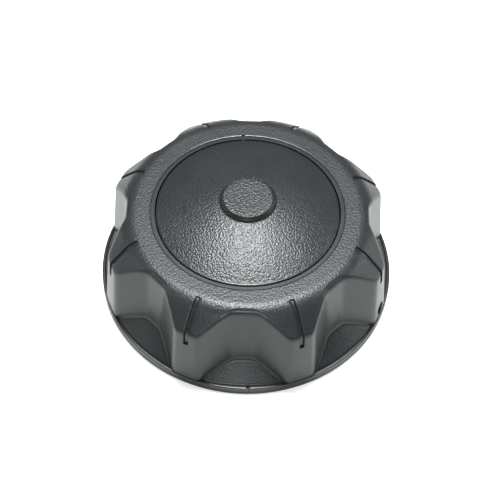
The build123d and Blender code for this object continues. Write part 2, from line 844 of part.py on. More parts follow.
# Pressure plate: lifts off the seat, guided by three tabs, with a hub for the vacuum stem
with BuildPart() as pressure_plate:
    with BuildSketch(Plane.XY.offset(plate_bottom)):
        Circle(plate_radius)
        with PolarLocations(plate_radius - plate_guide_width, plate_guide_count):
            Rectangle(
                plate_guide_radius - plate_radius + plate_guide_width,
                plate_guide_width,
                align=(Align.MIN, Align.CENTER),
            )
    extrude(amount=plate_thickness)
    with BuildSketch(Plane.XY.offset(plate_top)):
        Circle(hub_radius)
    extrude(amount=hub_height)
    with BuildSketch(Plane.XY.offset(plate_bottom)):
        Circle(stem_radius + stem_gap)
        with PolarLocations(passage_circle_radius, passage_count):
            Circle(passage_radius)
    extrude(amount=plate_thickness + hub_height, mode=Mode.SUBTRACT)

write(pressure_plate, "pressure_plate")

# Pressure seal, bonded under the plate and resting on the housing's seat
with BuildPart() as pressure_seal:
    with BuildSketch(Plane.XY.offset(seat_top)):
        Circle(pressure_seal_outer_radius)
        Circle(pressure_seal_inner_radius, mode=Mode.SUBTRACT)
    extrude(amount=seal_thickness)

write(pressure_seal, "pressure_seal")

# Vacuum seal, carried on the poppet and closing the plate's passages from below
with BuildPart() as vacuum_seal:
    with BuildSketch(Plane.XY.offset(poppet_top)):
        Circle(vacuum_seal_outer_radius)
        Circle(vacuum_seal_inner_radius, mode=Mode.SUBTRACT)
    extrude(amount=vacuum_seal_thickness)

write(vacuum_seal, "vacuum_seal")

# Vacuum poppet: a disc on a stem that runs up through the plate's hub
with BuildPart() as vacuum_poppet:
    with BuildSketch(Plane.XY.offset(poppet_bottom)):
        Circle(poppet_radius)
    extrude(amount=poppet_thickness)
    with BuildSketch(Plane.XY.offset(poppet_top)):
        Circle(stem_radius)
    extrude(amount=spring_cap_top + stem_tip_height - poppet_top)

write(vacuum_poppet, "vacuum_poppet")

# Spring cap pushed onto the stem
with BuildPart() as spring_cap:
    with BuildSketch(Plane.XY.offset(spring_cap_bottom)):
        Circle(spring_cap_radius)
        Circle(stem_radius + cap_gap, mode=Mode.SUBTRACT)
    extrude(amount=spring_cap_thickness)

write(spring_cap, "spring_cap")


def coil_spring(bottom, top, coil_radius, wire, turns):
    """A wire wound between two heights, its ends touching both."""
    rise = top - bottom - wire
    with BuildPart() as coil:
        with BuildLine() as coil_path:
            Helix(
                pitch=rise / turns,
                height=rise,
                radius=coil_radius,
                center=(0, 0, bottom + wire / 2),
            )
        coil_start = Plane(origin=coil_path.line @ 0, z_dir=coil_path.line % 0)
        with BuildSketch(coil_start):
            Circle(wire / 2)
        sweep(path=coil_path.line, is_frenet=True)
    return coil


# Springs of the two valves
pressure_spring = coil_spring(
    plate_top, cover_bottom, pressure_coil_radius, pressure_wire_thickness, pressure_turns
)
write(pressure_spring, "pressure_spring")

vacuum_spring = coil_spring(
    hub_top, spring_cap_bottom, vacuum_coil_radius, vacuum_wire_thickness, vacuum_turns
)
write(vacuum_spring, "vacuum_spring")

# Valve cover on the step in the housing's bore, with ports and a hole for the stem's end
with BuildPart() as valve_cover:
    with BuildSketch(Plane.XY.offset(cover_bottom)):
        Circle(housing_top_bore_radius - insert_gap)
        Circle(cover_hole_radius, mode=Mode.SUBTRACT)
        with PolarLocations(cover_port_circle_radius, cover_port_count):
            Circle(cover_port_radius, mode=Mode.SUBTRACT)
    extrude(amount=cover_thickness)

write(valve_cover, "valve_cover")

# Filter foam over the valve cover
with BuildPart() as filter_foam:
    with BuildSketch(Plane.XY.offset(cover_top)):
        Circle(housing_top_bore_radius - insert_gap)
        Circle(cover_hole_radius, mode=Mode.SUBTRACT)
    extrude(amount=filter_top - cover_top)

write(filter_foam, "filter_foam")

# Filter grille pressed into the top of the housing
grille_middle = (cover_hole_radius + housing_top_bore_radius) / 2
grille_slot_length = housing_top_bore_radius - cover_hole_radius - 2 * grille_slot_width
with BuildPart() as filter_grille:
    with BuildSketch(Plane.XY.offset(filter_top)):
        Circle(housing_top_bore_radius - insert_gap)
    extrude(amount=housing_top - filter_top)
    with BuildSketch(Plane.XY.offset(housing_top)):
        Circle(housing_radius)
    extrude(amount=grille_flange_height)
    with BuildSketch(Plane.XY.offset(filter_top)):
        with PolarLocations(grille_middle, grille_slot_count):
            SlotOverall(grille_slot_length, grille_slot_width)
    extrude(amount=housing_top - filter_top + grille_flange_height, mode=Mode.SUBTRACT)

write(filter_grille, "filter_grille")

# Splash baffle pressed into the foot of the housing
baffle_slot_radius = housing_top_bore_radius - baffle_slot_inset
with BuildPart() as splash_baffle:
    with BuildSketch(Plane.XY.offset(housing_bottom)):
        Circle(housing_top_bore_radius - insert_gap)
        with PolarLocations(0, baffle_slot_count):
            SlotArc(
                CenterArc((0, 0), baffle_slot_radius, -baffle_slot_arc / 2, baffle_slot_arc),
                baffle_slot_width,
                mode=Mode.SUBTRACT,
            )
    extrude(amount=baffle_thickness)

write(splash_baffle, "splash_baffle")
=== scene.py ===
"""Visual model of a vented tank cap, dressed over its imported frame.

Shapes are worked out in millimetres, with +Z up and the origin at the centre of the flange's underside,
and go into their meshes in metres.
"""

import json
import logging
from collections.abc import Callable
from dataclasses import dataclass, field
from enum import Enum

import bmesh
import bpy
import numpy as np
from mathutils import Matrix, Vector


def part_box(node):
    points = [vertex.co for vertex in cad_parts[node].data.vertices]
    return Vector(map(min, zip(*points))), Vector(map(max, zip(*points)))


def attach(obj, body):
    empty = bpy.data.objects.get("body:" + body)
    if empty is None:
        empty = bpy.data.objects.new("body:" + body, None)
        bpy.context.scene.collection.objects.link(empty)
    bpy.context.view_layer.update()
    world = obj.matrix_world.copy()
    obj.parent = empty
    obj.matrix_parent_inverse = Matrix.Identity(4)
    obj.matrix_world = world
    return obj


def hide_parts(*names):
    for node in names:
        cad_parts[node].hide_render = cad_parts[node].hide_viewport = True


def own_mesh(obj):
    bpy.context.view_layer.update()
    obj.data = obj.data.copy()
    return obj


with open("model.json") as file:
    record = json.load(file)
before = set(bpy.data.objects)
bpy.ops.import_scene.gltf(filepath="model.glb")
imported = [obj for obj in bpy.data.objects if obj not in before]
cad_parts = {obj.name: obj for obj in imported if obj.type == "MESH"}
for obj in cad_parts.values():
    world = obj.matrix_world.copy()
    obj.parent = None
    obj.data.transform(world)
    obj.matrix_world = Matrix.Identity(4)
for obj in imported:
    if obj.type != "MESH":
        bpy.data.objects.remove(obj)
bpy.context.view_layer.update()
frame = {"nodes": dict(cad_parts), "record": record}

log = logging.getLogger("tank_cap")
MM = 0.001

# A mark says how deep a point lies inside the grained area. These three lie outside it, and the last
# marks painted shade: a near-black stripe in the creases at the groove sides, the rim's step and the boss's
# foot.
PLAIN_MARK = -1.0
INNER_MARK = -2.0
# Marks the near-black stripes of painted shade along creases
SHADE_LINE_MARK = -9.0

# Edges are shaded as sharp past this angle, in degrees
MOULDED_SHARP = 34.0
WIRE_SHARP = 60.0

# A distance too small to see, in millimetres, for telling sizes apart
HAIR = 0.01

# Keeps a division from meeting zero, and an angle from missing its own column
TINY = 1e-9
ANGLE_SLACK = 1e-6

# Gap between the cover disc and the wall of its recess, in millimetres
DISC_GAP = 0.35

# Two arrays of one form, such as the radii and heights of a grid
Pair = tuple[np.ndarray, np.ndarray]
Colour = tuple[float, float, float]


class Body(Enum):
    """The bodies that pieces ride on."""

    GRIP = "grip"
    CLOSURE = "closure"
    PRESSURE_VALVE = "pressure_valve"


def smooth_min(a: np.ndarray, b: np.ndarray, width: float) -> np.ndarray:
    """The lower of two surfaces with their crossing rounded.

    Where the two differ by less than width, a parabola is taken off: a quarter of the width where
    they are equal, falling to nothing at a difference of one width.

    Args:
        a: First surface.
        b: Second surface.
        width: Difference over which the crossing is rounded.

    Returns:
        The rounded lower surface.
    """
    near = np.maximum(width - np.abs(a - b), 0.0) / width
    return np.minimum(a, b) - near**2 * width / 4


def smooth_max(a: np.ndarray, b: np.ndarray, width: float) -> np.ndarray:
    """The higher of two surfaces with their crossing rounded, as smooth_min is for the lower."""
    return -smooth_min(-a, -b, width)


def smooth_step(x: np.ndarray) -> np.ndarray:
    """An S-curve from 0 to 1: three times the square less twice the cube of x, held to 0..1."""
    x = np.clip(x, 0.0, 1.0)
    return x * x * (3 - 2 * x)


def bend(share: float, first: np.ndarray, corner: np.ndarray, last: np.ndarray) -> np.ndarray:
    """A point of the quadratic curve that goes from first to last and leans towards the corner."""
    return (1 - share) ** 2 * first + 2 * share * (1 - share) * corner + share**2 * last


def whole_turn(count: int) -> np.ndarray:
    """So many even angles round the axis."""
    return np.linspace(0, 2 * np.pi, count + 1)[:-1]


def around(radius: np.ndarray, angle: np.ndarray, height: np.ndarray) -> np.ndarray:
    """Points from their radii, their angles round the axis and their heights."""
    return np.stack(np.broadcast_arrays(radius * np.cos(angle), radius * np.sin(angle), height), axis=-1)


@dataclass
class Skin:
    """The points and faces of one mesh while they are gathered, in millimetres."""

    points: list[np.ndarray] = field(default_factory=list)
    faces: list[np.ndarray] = field(default_factory=list)
    marks: list[np.ndarray] = field(default_factory=list)
    count: int = 0

    def add_points(self, points: np.ndarray, marks: np.ndarray | None = None) -> np.ndarray:
        """Adds points and returns their numbers in the points' own layout.

        Args:
            points: Array whose last axis is x, y, z.
            marks: Distance of each point inside the grained area, the mark of painted shade, or None where
                nothing is grained.

        Returns:
            Array of point numbers, shaped as points without its last axis.
        """
        flat = points.reshape(-1, 3)
        numbers = self.count + np.arange(len(flat)).reshape(points.shape[:-1])
        self.points.append(flat)
        self.marks.append(np.full(len(flat), PLAIN_MARK) if marks is None else marks.reshape(-1))
        self.count += len(flat)
        return numbers

    def add_sheet(
        self, numbers: np.ndarray, wrap_rows: bool, wrap_columns: bool, skip: np.ndarray | None = None
    ) -> None:
        """Adds the four-sided faces between neighbouring rows and columns of a grid of points.

        Args:
            numbers: Grid of point numbers, rows by columns.
            wrap_rows: Whether the last row joins the first.
            wrap_columns: Whether the last column joins the first.
            skip: Grid of True where a face is left out, or None.
        """
        down = np.roll(numbers, -1, axis=0)
        corners = [numbers, np.roll(numbers, -1, axis=1), np.roll(down, -1, axis=1), down]
        quads = np.stack(corners, axis=-1)
        keep = np.ones(numbers.shape, bool)
        if not wrap_rows:
            keep[-1] = False
        if not wrap_columns:
            keep[:, -1] = False
        if skip is not None:
            keep &= ~skip
        self.faces.append(quads[keep])

    def add_band(self, first: np.ndarray, second: np.ndarray) -> None:
        """Adds the faces between two closed loops of as many points each.

        Args:
            first: Point numbers of one loop.
            second: Point numbers of the other.
        """
        after_first = np.roll(first, -1)
        after_second = np.roll(second, -1)
        self.faces.append(np.stack([first, after_first, after_second, second], axis=-1))

    def add_fan(self, middle: int, ring: np.ndarray) -> None:
        """Adds triangles between one point and a closed loop.

        Args:
            middle: Number of the point.
            ring: Point numbers of the loop.
        """
        centre = np.full(len(ring), middle)
        self.faces.append(np.stack([centre, ring, np.roll(ring, -1)], axis=-1))

    def add_ring(
        self, angle: np.ndarray, inner: np.ndarray | float, outer: float, bottom: float, top: float
    ) -> None:
        """Adds a closed ring with four corners to its section.

        Args:
            angle: Angle of each column.
            inner: Inside radius, or one per column.
            outer: Outside radius.
            bottom: Height of its underside.
            top: Height of its top.
        """
        section = [(inner, bottom), (outer, bottom), (outer, top), (inner, top)]
        rows = np.array([around(radius, angle, height) for radius, height in section])
        self.add_sheet(self.add_points(rows), True, True)

    def add_strips(self, section: list[tuple[float, float]], turns: np.ndarray, width: float) -> None:
        """Adds closed strips, each a section in a plane through the axis, drawn out across that plane.

        Args:
            section: Radius and height of the section's corners, in order.
            turns: Angle of each strip round the axis.
            width: Width of the strips.
        """
        for turn in turns:
            out = np.array([np.cos(turn), np.sin(turn), 0.0])
            side = np.array([-np.sin(turn), np.cos(turn), 0.0])
            profile = np.array([out * r + [0, 0, z] for r, z in section]) - side * width / 2
            near = self.add_points(profile)
            far = self.add_points(profile + side * width)
            self.add_band(near, far)
            self.faces += [near[None, :], far[None, ::-1]]

    def to_object(self, name: str, body: Body, slot: str, sharp_angle: float) -> bpy.types.Object:
        """Makes the mesh object, turns its faces outwards and sets what it rides on.

        Args:
            name: Name of the piece.
            body: Body that it moves with.
            slot: The record's material slot; not used.
            sharp_angle: Angle in degrees past which an edge is shaded as sharp.

        Returns:
            The new object.
        """
        points = np.concatenate(self.points) * MM
        sizes = np.concatenate([np.full(len(f), f.shape[1]) for f in self.faces])
        corners = np.concatenate([f.reshape(-1) for f in self.faces])
        mesh = bpy.data.meshes.new(name)
        mesh.vertices.add(len(points))
        mesh.vertices.foreach_set("co", points.reshape(-1).astype(np.float32))
        mesh.loops.add(len(corners))
        mesh.loops.foreach_set("vertex_index", corners.astype(np.int32))
        mesh.polygons.add(len(sizes))
        starts = np.concatenate([[0], np.cumsum(sizes)[:-1]])
        mesh.polygons.foreach_set("loop_start", starts.astype(np.int32))
        mesh.update(calc_edges=True)
        # The marks carry the grain and the painted shade of the crease stripes
        mark = mesh.attributes.new("grain_and_shade_mark", "FLOAT", "POINT")
        mark.data.foreach_set("value", np.concatenate(self.marks).astype(np.float32))
        work = bmesh.new()
        work.from_mesh(mesh)
        bmesh.ops.recalc_face_normals(work, faces=work.faces)
        work.to_mesh(mesh)
        work.free()
        mesh.polygons.foreach_set("use_smooth", np.ones(len(mesh.polygons), bool))
        mesh.set_sharp_from_angle(angle=np.radians(sharp_angle))
        mesh.update()
        piece = bpy.data.objects.new(name, mesh)
        bpy.context.scene.collection.objects.link(piece)
        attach(piece, body.value)
        log.info("%s: %d points, %d faces", name, len(mesh.vertices), len(mesh.polygons))
        return piece


@dataclass
class Columns:
    """The upright columns of the grip's grid and where each lies round the axis.

    Each lobe has a middle zone whose columns run parallel to its groove high up, and evenly spaced
    round the air outlet low down. Between zones the columns fan evenly to the scallop's middle.
    """

    first_lobe: float
    pitch: float
    zone_radius: float
    outlet_lobe: int
    outlet_angle: float
    outlet_step: float
    groove_half: float
    spread: int = 28
    half_zone: int = 7
    blend_low: float = 10.5
    blend_high: float = 17.0
    least_radius: float = 27.0
    outlet_run: float = 3.0
    groove_lips: tuple[float, ...] = (-0.30, -0.17, -0.09, 0.15, 0.29)
    groove_depths: tuple[float, ...] = (1.0, 1.0, 0.96, 0.7, 0.08, 0.0, 0.0, 0.0)
    # Columns at the groove's sides, which get the near-black stripe of painted shade
    shaded_groove_sides: tuple[int, int] = (3, 4)
    parallel: tuple[float, ...] = (1.0, 1.0, 1.0, 1.0, 1.0, 1.0, 0.8, 0.0)
    beside_groove: float = 1.6
    marks: tuple[tuple[float, float], ...] = ()
    mark_slack: float = np.radians(0.03)
    least_apart: float = 0.012

    def __post_init__(self) -> None:
        """Lays out the zone offsets and the fans of every lobe."""
        lips = [self.groove_half + lip for lip in self.groove_lips]
        self.lip_count = len(lips)
        self.groove_steps = np.array([0.0, *lips, self.beside_groove, self.outlet_step * self.half_zone])
        middles, indexes, fans, lobes = [], [], [], []
        zone = np.arange(-self.half_zone, self.half_zone + 1)
        fan = np.arange(1, self.spread + 1) / self.spread
        for lobe in range(int(round(2 * np.pi / self.pitch))):
            middle = self.first_lobe + lobe * self.pitch
            left = self._fan_shares(middle, fan[:-1], -1)
            right = self._fan_shares(middle, fan, 1)
            indexes += [np.full(len(left), -self.half_zone), zone, np.full(len(right), self.half_zone)]
            fans += [left[::-1], np.zeros(len(zone)), right]
            count = len(left) + len(zone) + len(right)
            middles.append(np.full(count, middle))
            lobes.append(np.full(count, lobe))
        self.middle = np.concatenate(middles)
        self.index = np.concatenate(indexes)
        self.fan = np.concatenate(fans)
        self.lobe = np.concatenate(lobes)
        self.count = len(self.middle)

    def _fan_shares(self, middle: float, fan: np.ndarray, side: int) -> np.ndarray:
        """The shares of the fan on one side of a lobe, with columns put in at the edges of the marks.

        Args:
            middle: Angle of the lobe's middle.
            fan: Even shares of the way from the zone's edge to the scallop's middle.
            side: 1 for the fan at the greater angles, -1 for the other.

        Returns:
            The shares, from the zone outwards.
        """
        edge = self.groove_steps[-1] / self.zone_radius
        reach = self.pitch / 2 - edge
        extra = []
        for angle, half in self.marks:
            for step in (-half - self.mark_slack, -half, half, half + self.mark_slack):
                away = (angle + step - middle + np.pi) % (2 * np.pi) - np.pi
                share = (side * away - edge) / reach
                if 0 < share < 1:
                    extra.append(share)
        if not extra:
            return fan
        apart = np.abs(fan[:, None] - np.array(extra)[None, :]).min(axis=1)
        kept = fan[(apart > self.least_apart) | (fan == 1.0)]
        return np.sort(np.concatenate([kept, extra]))

    def angles(self, radius: np.ndarray, height: np.ndarray) -> np.ndarray:
        """Angle round the axis of each point of a grid of rows by columns.

        High up a zone column keeps its offset from the lobe's middle plane, so its angle is the arcsine
        of offset over radius. Low down it keeps an even offset round the outlet. An S-curve of the
        height joins the two.

        Args:
            radius: Radius of each point.
            height: Height of each point.

        Returns:
            Angles in radians, of the shape that radius and height give together.
        """
        steps = np.abs(self.index)
        side = np.sign(self.index)
        reach = np.maximum(radius, self.least_radius)
        offset = self.groove_steps[steps]
        weight = np.array(self.parallel)[steps]
        plain = offset / self.zone_radius
        high = side * (weight * np.arcsin(offset / reach) + (1 - weight) * plain)
        outlet = self.lobe == self.outlet_lobe
        turn = np.where(outlet, self.outlet_angle - self.middle, 0.0)
        low_reach = np.maximum(radius, self.zone_radius - self.outlet_run)
        low = turn + np.arcsin(self.index * self.outlet_step / low_reach)
        share = smooth_step((height - self.blend_low) / (self.blend_high - self.blend_low))
        near = low + (high - low) * share
        far = np.where(self.index > 0, 1, -1) * self.pitch / 2
        return self.middle + near + (far - near) * self.fan


@dataclass
class Row:
    """One row of the grip's grid.

    It holds the radius and height, for all columns or one per column (no radius where it follows from
    the wall), whether the grooves are cut into it, how far its groove is drawn together, its grain mark
    and, on a wall, its height in a lobe's middle.
    """

    radius: np.ndarray | float | None
    height: np.ndarray | float
    cut: bool = False
    squeeze: float = 1.0
    mark: np.ndarray | float = PLAIN_MARK
    lobe_height: float = 0.0


@dataclass
class GripCover:
    """The grip's moulding: lobes, scallops, grooves, flange, shoulder, recess, ratchet ring and barbs."""

    flange_radius: float
    ring_height: float
    lobe_count: int = 8
    lobe_depth: float = 6.2
    rim_margin: float = 0.25
    rim_land: float = 0.75
    rim_height: float = 3.1
    rim_step: float = 0.3
    rim_bevel: float = 0.2
    shelf_slope: float = 45.0
    lobe_draft: float = 4.7
    scallop_flat: float = 6.0
    scallop_angle: float = 23.0
    root_blend: float = 0.5
    tip_blend: float = 0.9
    inner_tip_blend: float = 0.25
    inner_root_blend: float = 0.75
    ring_inset: float = 2.5
    ring_width: float = 7.3
    shoulder_slope: float = 47.0
    shoulder_round: float = 7.0
    edge_round: float = 2.8
    foot_round: float = 1.8
    wall: float = 2.4
    roof_wall: float = 2.3
    groove_width: float = 1.1
    groove_depth: float = 0.6
    groove_lead: float = 1.9
    groove_drop: float = 12.2
    outlet_diameter: float = 4.4
    outlet_height: float = 6.0
    outlet_angle: float = -22.5
    notch_angle: float = -88.0
    notch_width: float = 1.2
    notch_depth: float = 0.5
    tick_angle: float = 94.0
    tick_width: float = 1.0
    tick_reach: float = 0.5
    border_width: float = 1.1
    border_depth: float = 0.35
    seat_depth: float = 4.6
    roof_hole: float = 15.0
    tooth_count: int = 24
    tooth_tip: float = 28.9
    tooth_root: float = 30.3
    tooth_share: float = 0.9
    ratchet_outer: float = 31.6
    ratchet_bottom: float = 17.4
    rib_inner: float = 20.8
    rib_outer: float = 23.2
    rib_bottom: float = 21.3
    barb_inner: float = 33.3
    barb_top: float = 10.0
    barb_height: float = 1.5
    barb_width: float = 8.0
    barb_lead: float = 1.2
    hole_steps: int = 6
    window_steps: int = 7
    roof_middle: float = 22.0
    shelf_fade: float = 1.5
    meet_rounds: int = 40
    meet_share: float = 0.7
    ring_rows: int = 5
    shoulder_rows: int = 14
    edge_rows: int = 8
    groove_rows: int = 8
    wall_rows: int = 10
    foot_rows: int = 6
    shelf_rows: int = 9
    inside_rows: int = 9
    rib_columns: int = 128
    border_edge: tuple[tuple[float, ...], ...] = ((0.0, 0.16, -0.3), (0.05, 0.05, -0.25), (0.16, 0.0, -0.15))
    groove_ends: tuple[float, ...] = (-1.8, -1.0, -0.04, -0.02, 0.0, 0.05, 0.15, 0.3, 0.55)
    close: float = 0.03
    row_gap: float = 0.2
    least_squeeze: float = 0.12
    grain_inset: float = 0.3
    groove_clear: float = 0.15
    shelf_grain_start: float = 0.25
    shelf_grain_end: float = 0.45
    wall_drop: float = 0.24
    step_run: float = 0.004
    step_top: float = 0.02
    land_mark: float = -0.8
    round_share: float = 0.3
    inner_slack: float = 0.05
    shelf_shares: tuple[float, ...] = (0.3, 0.65, 1.0)
    roof_shares: tuple[float, ...] = (0.25, 0.5, 0.75, 1.0)
    tooth_corners: tuple[float, ...] = (0.0, 0.3, 0.6, 0.9)

    def __post_init__(self) -> None:
        """Works out the radii and heights that follow from the sizes."""
        self.front = -np.pi / 2
        self.pitch = 2 * np.pi / self.lobe_count
        self.draft = np.tan(np.radians(self.lobe_draft))
        self.shelf_run = np.tan(np.radians(self.shelf_slope))
        self.shoulder_run = np.tan(np.radians(self.shoulder_slope))
        self.lobe_radius = self.flange_radius - self.rim_margin
        self.scallop_radius = self.lobe_radius - self.lobe_depth
        self.ring_radius = self.scallop_radius - self.ring_inset
        self.border_radius = self.ring_radius - self.ring_width
        self.well_radius = self.border_radius - self.border_width
        self.border_height = self.ring_height - self.border_depth
        self.well_floor = self.border_height - self.seat_depth
        self.roof_under = self.well_floor - self.roof_wall
        self.shelf_radius = self.flange_radius - self.rim_land
        self.shelf_height = self.rim_height - self.rim_step
        self.rim_inner = self.flange_radius - self.wall
        self.outlet_radius = self.outlet_diameter / 2
        step = self.outlet_radius / self.hole_steps
        self.window = self.outlet_height + np.arange(-self.window_steps, self.window_steps + 1) * step
        self.groove_end = self.ring_height - self.groove_drop
        self.columns = Columns(
            first_lobe=self.front + self.pitch / 2,
            pitch=self.pitch,
            zone_radius=self.lobe_radius - (self.outlet_height - self.rim_height) * self.draft,
            outlet_lobe=1,
            outlet_angle=np.radians(self.outlet_angle),
            outlet_step=step,
            groove_half=self.groove_width / 2,
            half_zone=self.window_steps,
            marks=(
                (np.radians(self.notch_angle), self.notch_width / 2 / self.flange_radius),
                (np.radians(self.tick_angle), self.tick_width / 2 / self.border_radius),
            ),
        )
        self.middle = int(np.flatnonzero((self.columns.fan == 0) & (self.columns.index == 0))[0])

    def outline(self, angle: np.ndarray, inset: np.ndarray, tip: float, root: float) -> np.ndarray:
        """Radius of the lobed outline, moved inwards by an inset.

        A scallop is a flat chord with a straight flank each side, and a lobe is an arc about the
        axis. Along an angle from the scallop's middle the chord lies at its distance over the
        cosine, a flank at its distance over the cosine of the angle plus the flank's own, and the
        outline is the rounded lower of the arc and the rounded higher of the other two.

        Args:
            angle: Angle round the axis.
            inset: How far the outline is moved inwards.
            tip: Rounding where a flank meets the arc.
            root: Rounding where the chord meets a flank.

        Returns:
            The radius at each angle.
        """
        away = np.abs((angle - self.front + self.pitch / 2) % self.pitch - self.pitch / 2)
        lean = np.radians(self.scallop_angle)
        flat = self.scallop_radius - inset
        half = self.scallop_flat / 2 + inset * np.tan(lean / 2)
        chord = flat / np.cos(away)
        flank = (flat * np.cos(lean) - half * np.sin(lean)) / np.cos(away + lean)
        return smooth_min(smooth_max(chord, flank, root), self.lobe_radius - inset, tip)

    def outer_wall(self, angle: np.ndarray, height: np.ndarray) -> np.ndarray:
        """Radius of the outer wall: the outline, inset by the height above the rim times the draft."""
        return self.outline(angle, (height - self.rim_height) * self.draft, self.tip_blend, self.root_blend)

    def inner_wall(self, angle: np.ndarray, height: np.ndarray) -> np.ndarray:
        """Radius of the inner wall: the outer wall's outline, inset by one more wall thickness."""
        inset = (height - self.rim_height) * self.draft + self.wall
        return self.outline(angle, inset, self.inner_tip_blend, self.inner_root_blend)

    def crown(self, radius: np.ndarray) -> np.ndarray:
        """Height of the top: level out to the ring's radius, then sloping, with an arc between them.

        Args:
            radius: Radius of each point.

        Returns:
            The heights.
        """
        slope = np.radians(self.shoulder_slope)
        reach = self.shoulder_round * np.tan(slope / 2)
        start = self.ring_radius - reach
        end = self.ring_radius + reach * np.cos(slope)
        over = np.clip(radius - start, 0.0, end - start)
        arc = self.ring_height - self.shoulder_round + np.sqrt(self.shoulder_round**2 - over**2)
        return arc - np.maximum(radius - end, 0.0) * self.shoulder_run

    def crown_slope(self, radius: np.ndarray) -> np.ndarray:
        """Slope of the top: its sine grows evenly over the arc, up to the shoulder's slope.

        Args:
            radius: Radius of each point.

        Returns:
            The slopes in radians.
        """
        slope = np.radians(self.shoulder_slope)
        start = self.ring_radius - self.shoulder_round * np.tan(slope / 2)
        return np.arcsin(np.clip((radius - start) / self.shoulder_round, 0.0, np.sin(slope)))

    def under_crown(self, radius: np.ndarray) -> np.ndarray:
        """Height of the crown's underside, a wall's thickness square to the top.

        Args:
            radius: Radius of each point.

        Returns:
            The heights.
        """
        drop = self.wall / np.cos(np.radians(self.shoulder_slope))
        sloped = self.ring_height - drop - (radius - self.ring_radius) * self.shoulder_run
        return np.minimum(self.ring_height - self.wall, sloped)

    def shelf(self, radius: np.ndarray) -> np.ndarray:
        """Height of the sloping shelf at a scallop's foot."""
        return self.shelf_height + (self.shelf_radius - radius) * self.shelf_run

    def under_shelf(self, radius: np.ndarray) -> np.ndarray:
        """Height of the shelf's underside, a wall's thickness square to the top."""
        return self.shelf(radius) - self.wall / np.cos(np.radians(self.shelf_slope))

    def meet(self, wall: Callable, top: Callable, start: float, columns: np.ndarray) -> Pair:
        """Finds where a wall meets a surface of revolution, by putting each into the other in turn.

        Args:
            wall: Function giving the wall's radius at an angle and a height.
            top: Function giving the surface's height at a radius.
            start: First guess of the height.
            columns: Angle of each column.

        Returns:
            Radius and height at which the two meet, per column.
        """
        height = np.full(len(columns), start)
        for _ in range(self.meet_rounds):
            height = top(wall(columns, height)) * self.meet_share + height * (1 - self.meet_share)
        return wall(columns, height), height

    def rows(self) -> list[Row]:
        """The rows of the closed skin, from the border over the outside and back through the inside.

        Returns:
            The rows in order. The last joins the first.
        """
        high = self.columns.angles(self.lobe_radius, self.ring_height)
        low = self.columns.angles(self.lobe_radius, self.rim_height)
        crown_r, crown_z = self.meet(self.outer_wall, self.crown, self.ring_height, high)
        foot_r, foot_z = self.meet(self.outer_wall, self.shelf, self.rim_height, low)
        foot_z = np.where(foot_r < self.shelf_radius, foot_z, self.rim_height)
        foot_r = np.where(foot_r < self.shelf_radius, foot_r, self.outer_wall(low, foot_z))
        in_shelf = np.clip((self.shelf_radius - foot_r) / self.shelf_fade, 0.0, 1.0)
        slope = self.crown_slope(crown_r)
        reach = self.edge_round * np.tan((np.pi / 2 - np.radians(self.lobe_draft) - slope) / 2)
        start_r = crown_r - reach * np.cos(slope)
        end_z = crown_z - reach
        rows = self._crown_rows(start_r)
        rows += self._round_rows(start_r, crown_r, crown_z, end_z, high)
        foot_turn = np.pi / 2 - np.radians(self.lobe_draft + self.shelf_slope)
        foot_reach = self.foot_round * np.tan(foot_turn / 2) * in_shelf
        rows += self._wall_rows(end_z, foot_z + foot_reach)
        rows += self._foot_rows(low, foot_r, foot_z, foot_reach, in_shelf)
        rows += self._rim_rows(foot_r)
        return rows + self._inside_rows(low, high)

    def _crown_rows(self, start_r: np.ndarray) -> list[Row]:
        """Rows over the ring and the shoulder, close together at the inner end of the grooves.

        Args:
            start_r: Radius at which the edge's rounding starts, per column.

        Returns:
            The rows, from the border outwards.
        """
        border = self.border_radius
        rows = [Row(border, self.border_height)]
        for run, drop, mark in self.border_edge:
            rows.append(Row(border + run, self.ring_height - drop, mark=mark))
        half = self.groove_width / 2
        centre = self.ring_radius - self.groove_lead + half
        near = centre - half + np.array(self.groove_ends)
        tick = border + self.tick_reach
        even = np.linspace(tick, near[0], self.ring_rows)[1:-1]
        plain = np.concatenate([[tick, tick + self.close], even])
        last = start_r[self.middle]
        outer = np.linspace(near[-1], last, self.shoulder_rows)[1:]
        fixed = plain[-1]
        for radius in np.concatenate([plain, near[near > fixed + self.row_gap], outer]):
            share = (radius - fixed) / (last - fixed)
            r = np.where(radius <= fixed, radius, fixed + share * (start_r - fixed))
            along = radius - centre
            squeeze = 1.0
            if -half - self.close < along < 0:
                squeeze = max(np.sqrt(max(1 - (along / half) ** 2, 0.0)), self.least_squeeze)
            cut = along > -half - HAIR / 10
            edge = np.minimum(r - border - self.grain_inset, start_r - r)
            rows.append(Row(r, self.crown(r), cut, squeeze, edge))
        return rows

    def _round_rows(
        self, start_r: np.ndarray, corner_r: np.ndarray, corner_z: np.ndarray, end_z: np.ndarray,
        angle: np.ndarray,
    ) -> list[Row]:
        """Rows of the edge between crown and wall: a quadratic curve from one to the other.

        Args:
            start_r: Radius at which the rounding starts on the crown.
            corner_r: Radius of the sharp edge.
            corner_z: Height of the sharp edge.
            end_z: Height at which the rounding ends on the wall.
            angle: Angle of each column.

        Returns:
            The rows, from the crown down.
        """
        start_z = self.crown(start_r)
        end_r = self.outer_wall(angle, end_z)
        rows = []
        for share in np.linspace(0, 1, self.edge_rows)[1:-1]:
            z = bend(share, start_z, corner_z, end_z)
            rows.append(Row(bend(share, start_r, corner_r, end_r), z, True, mark=-share))
        return rows

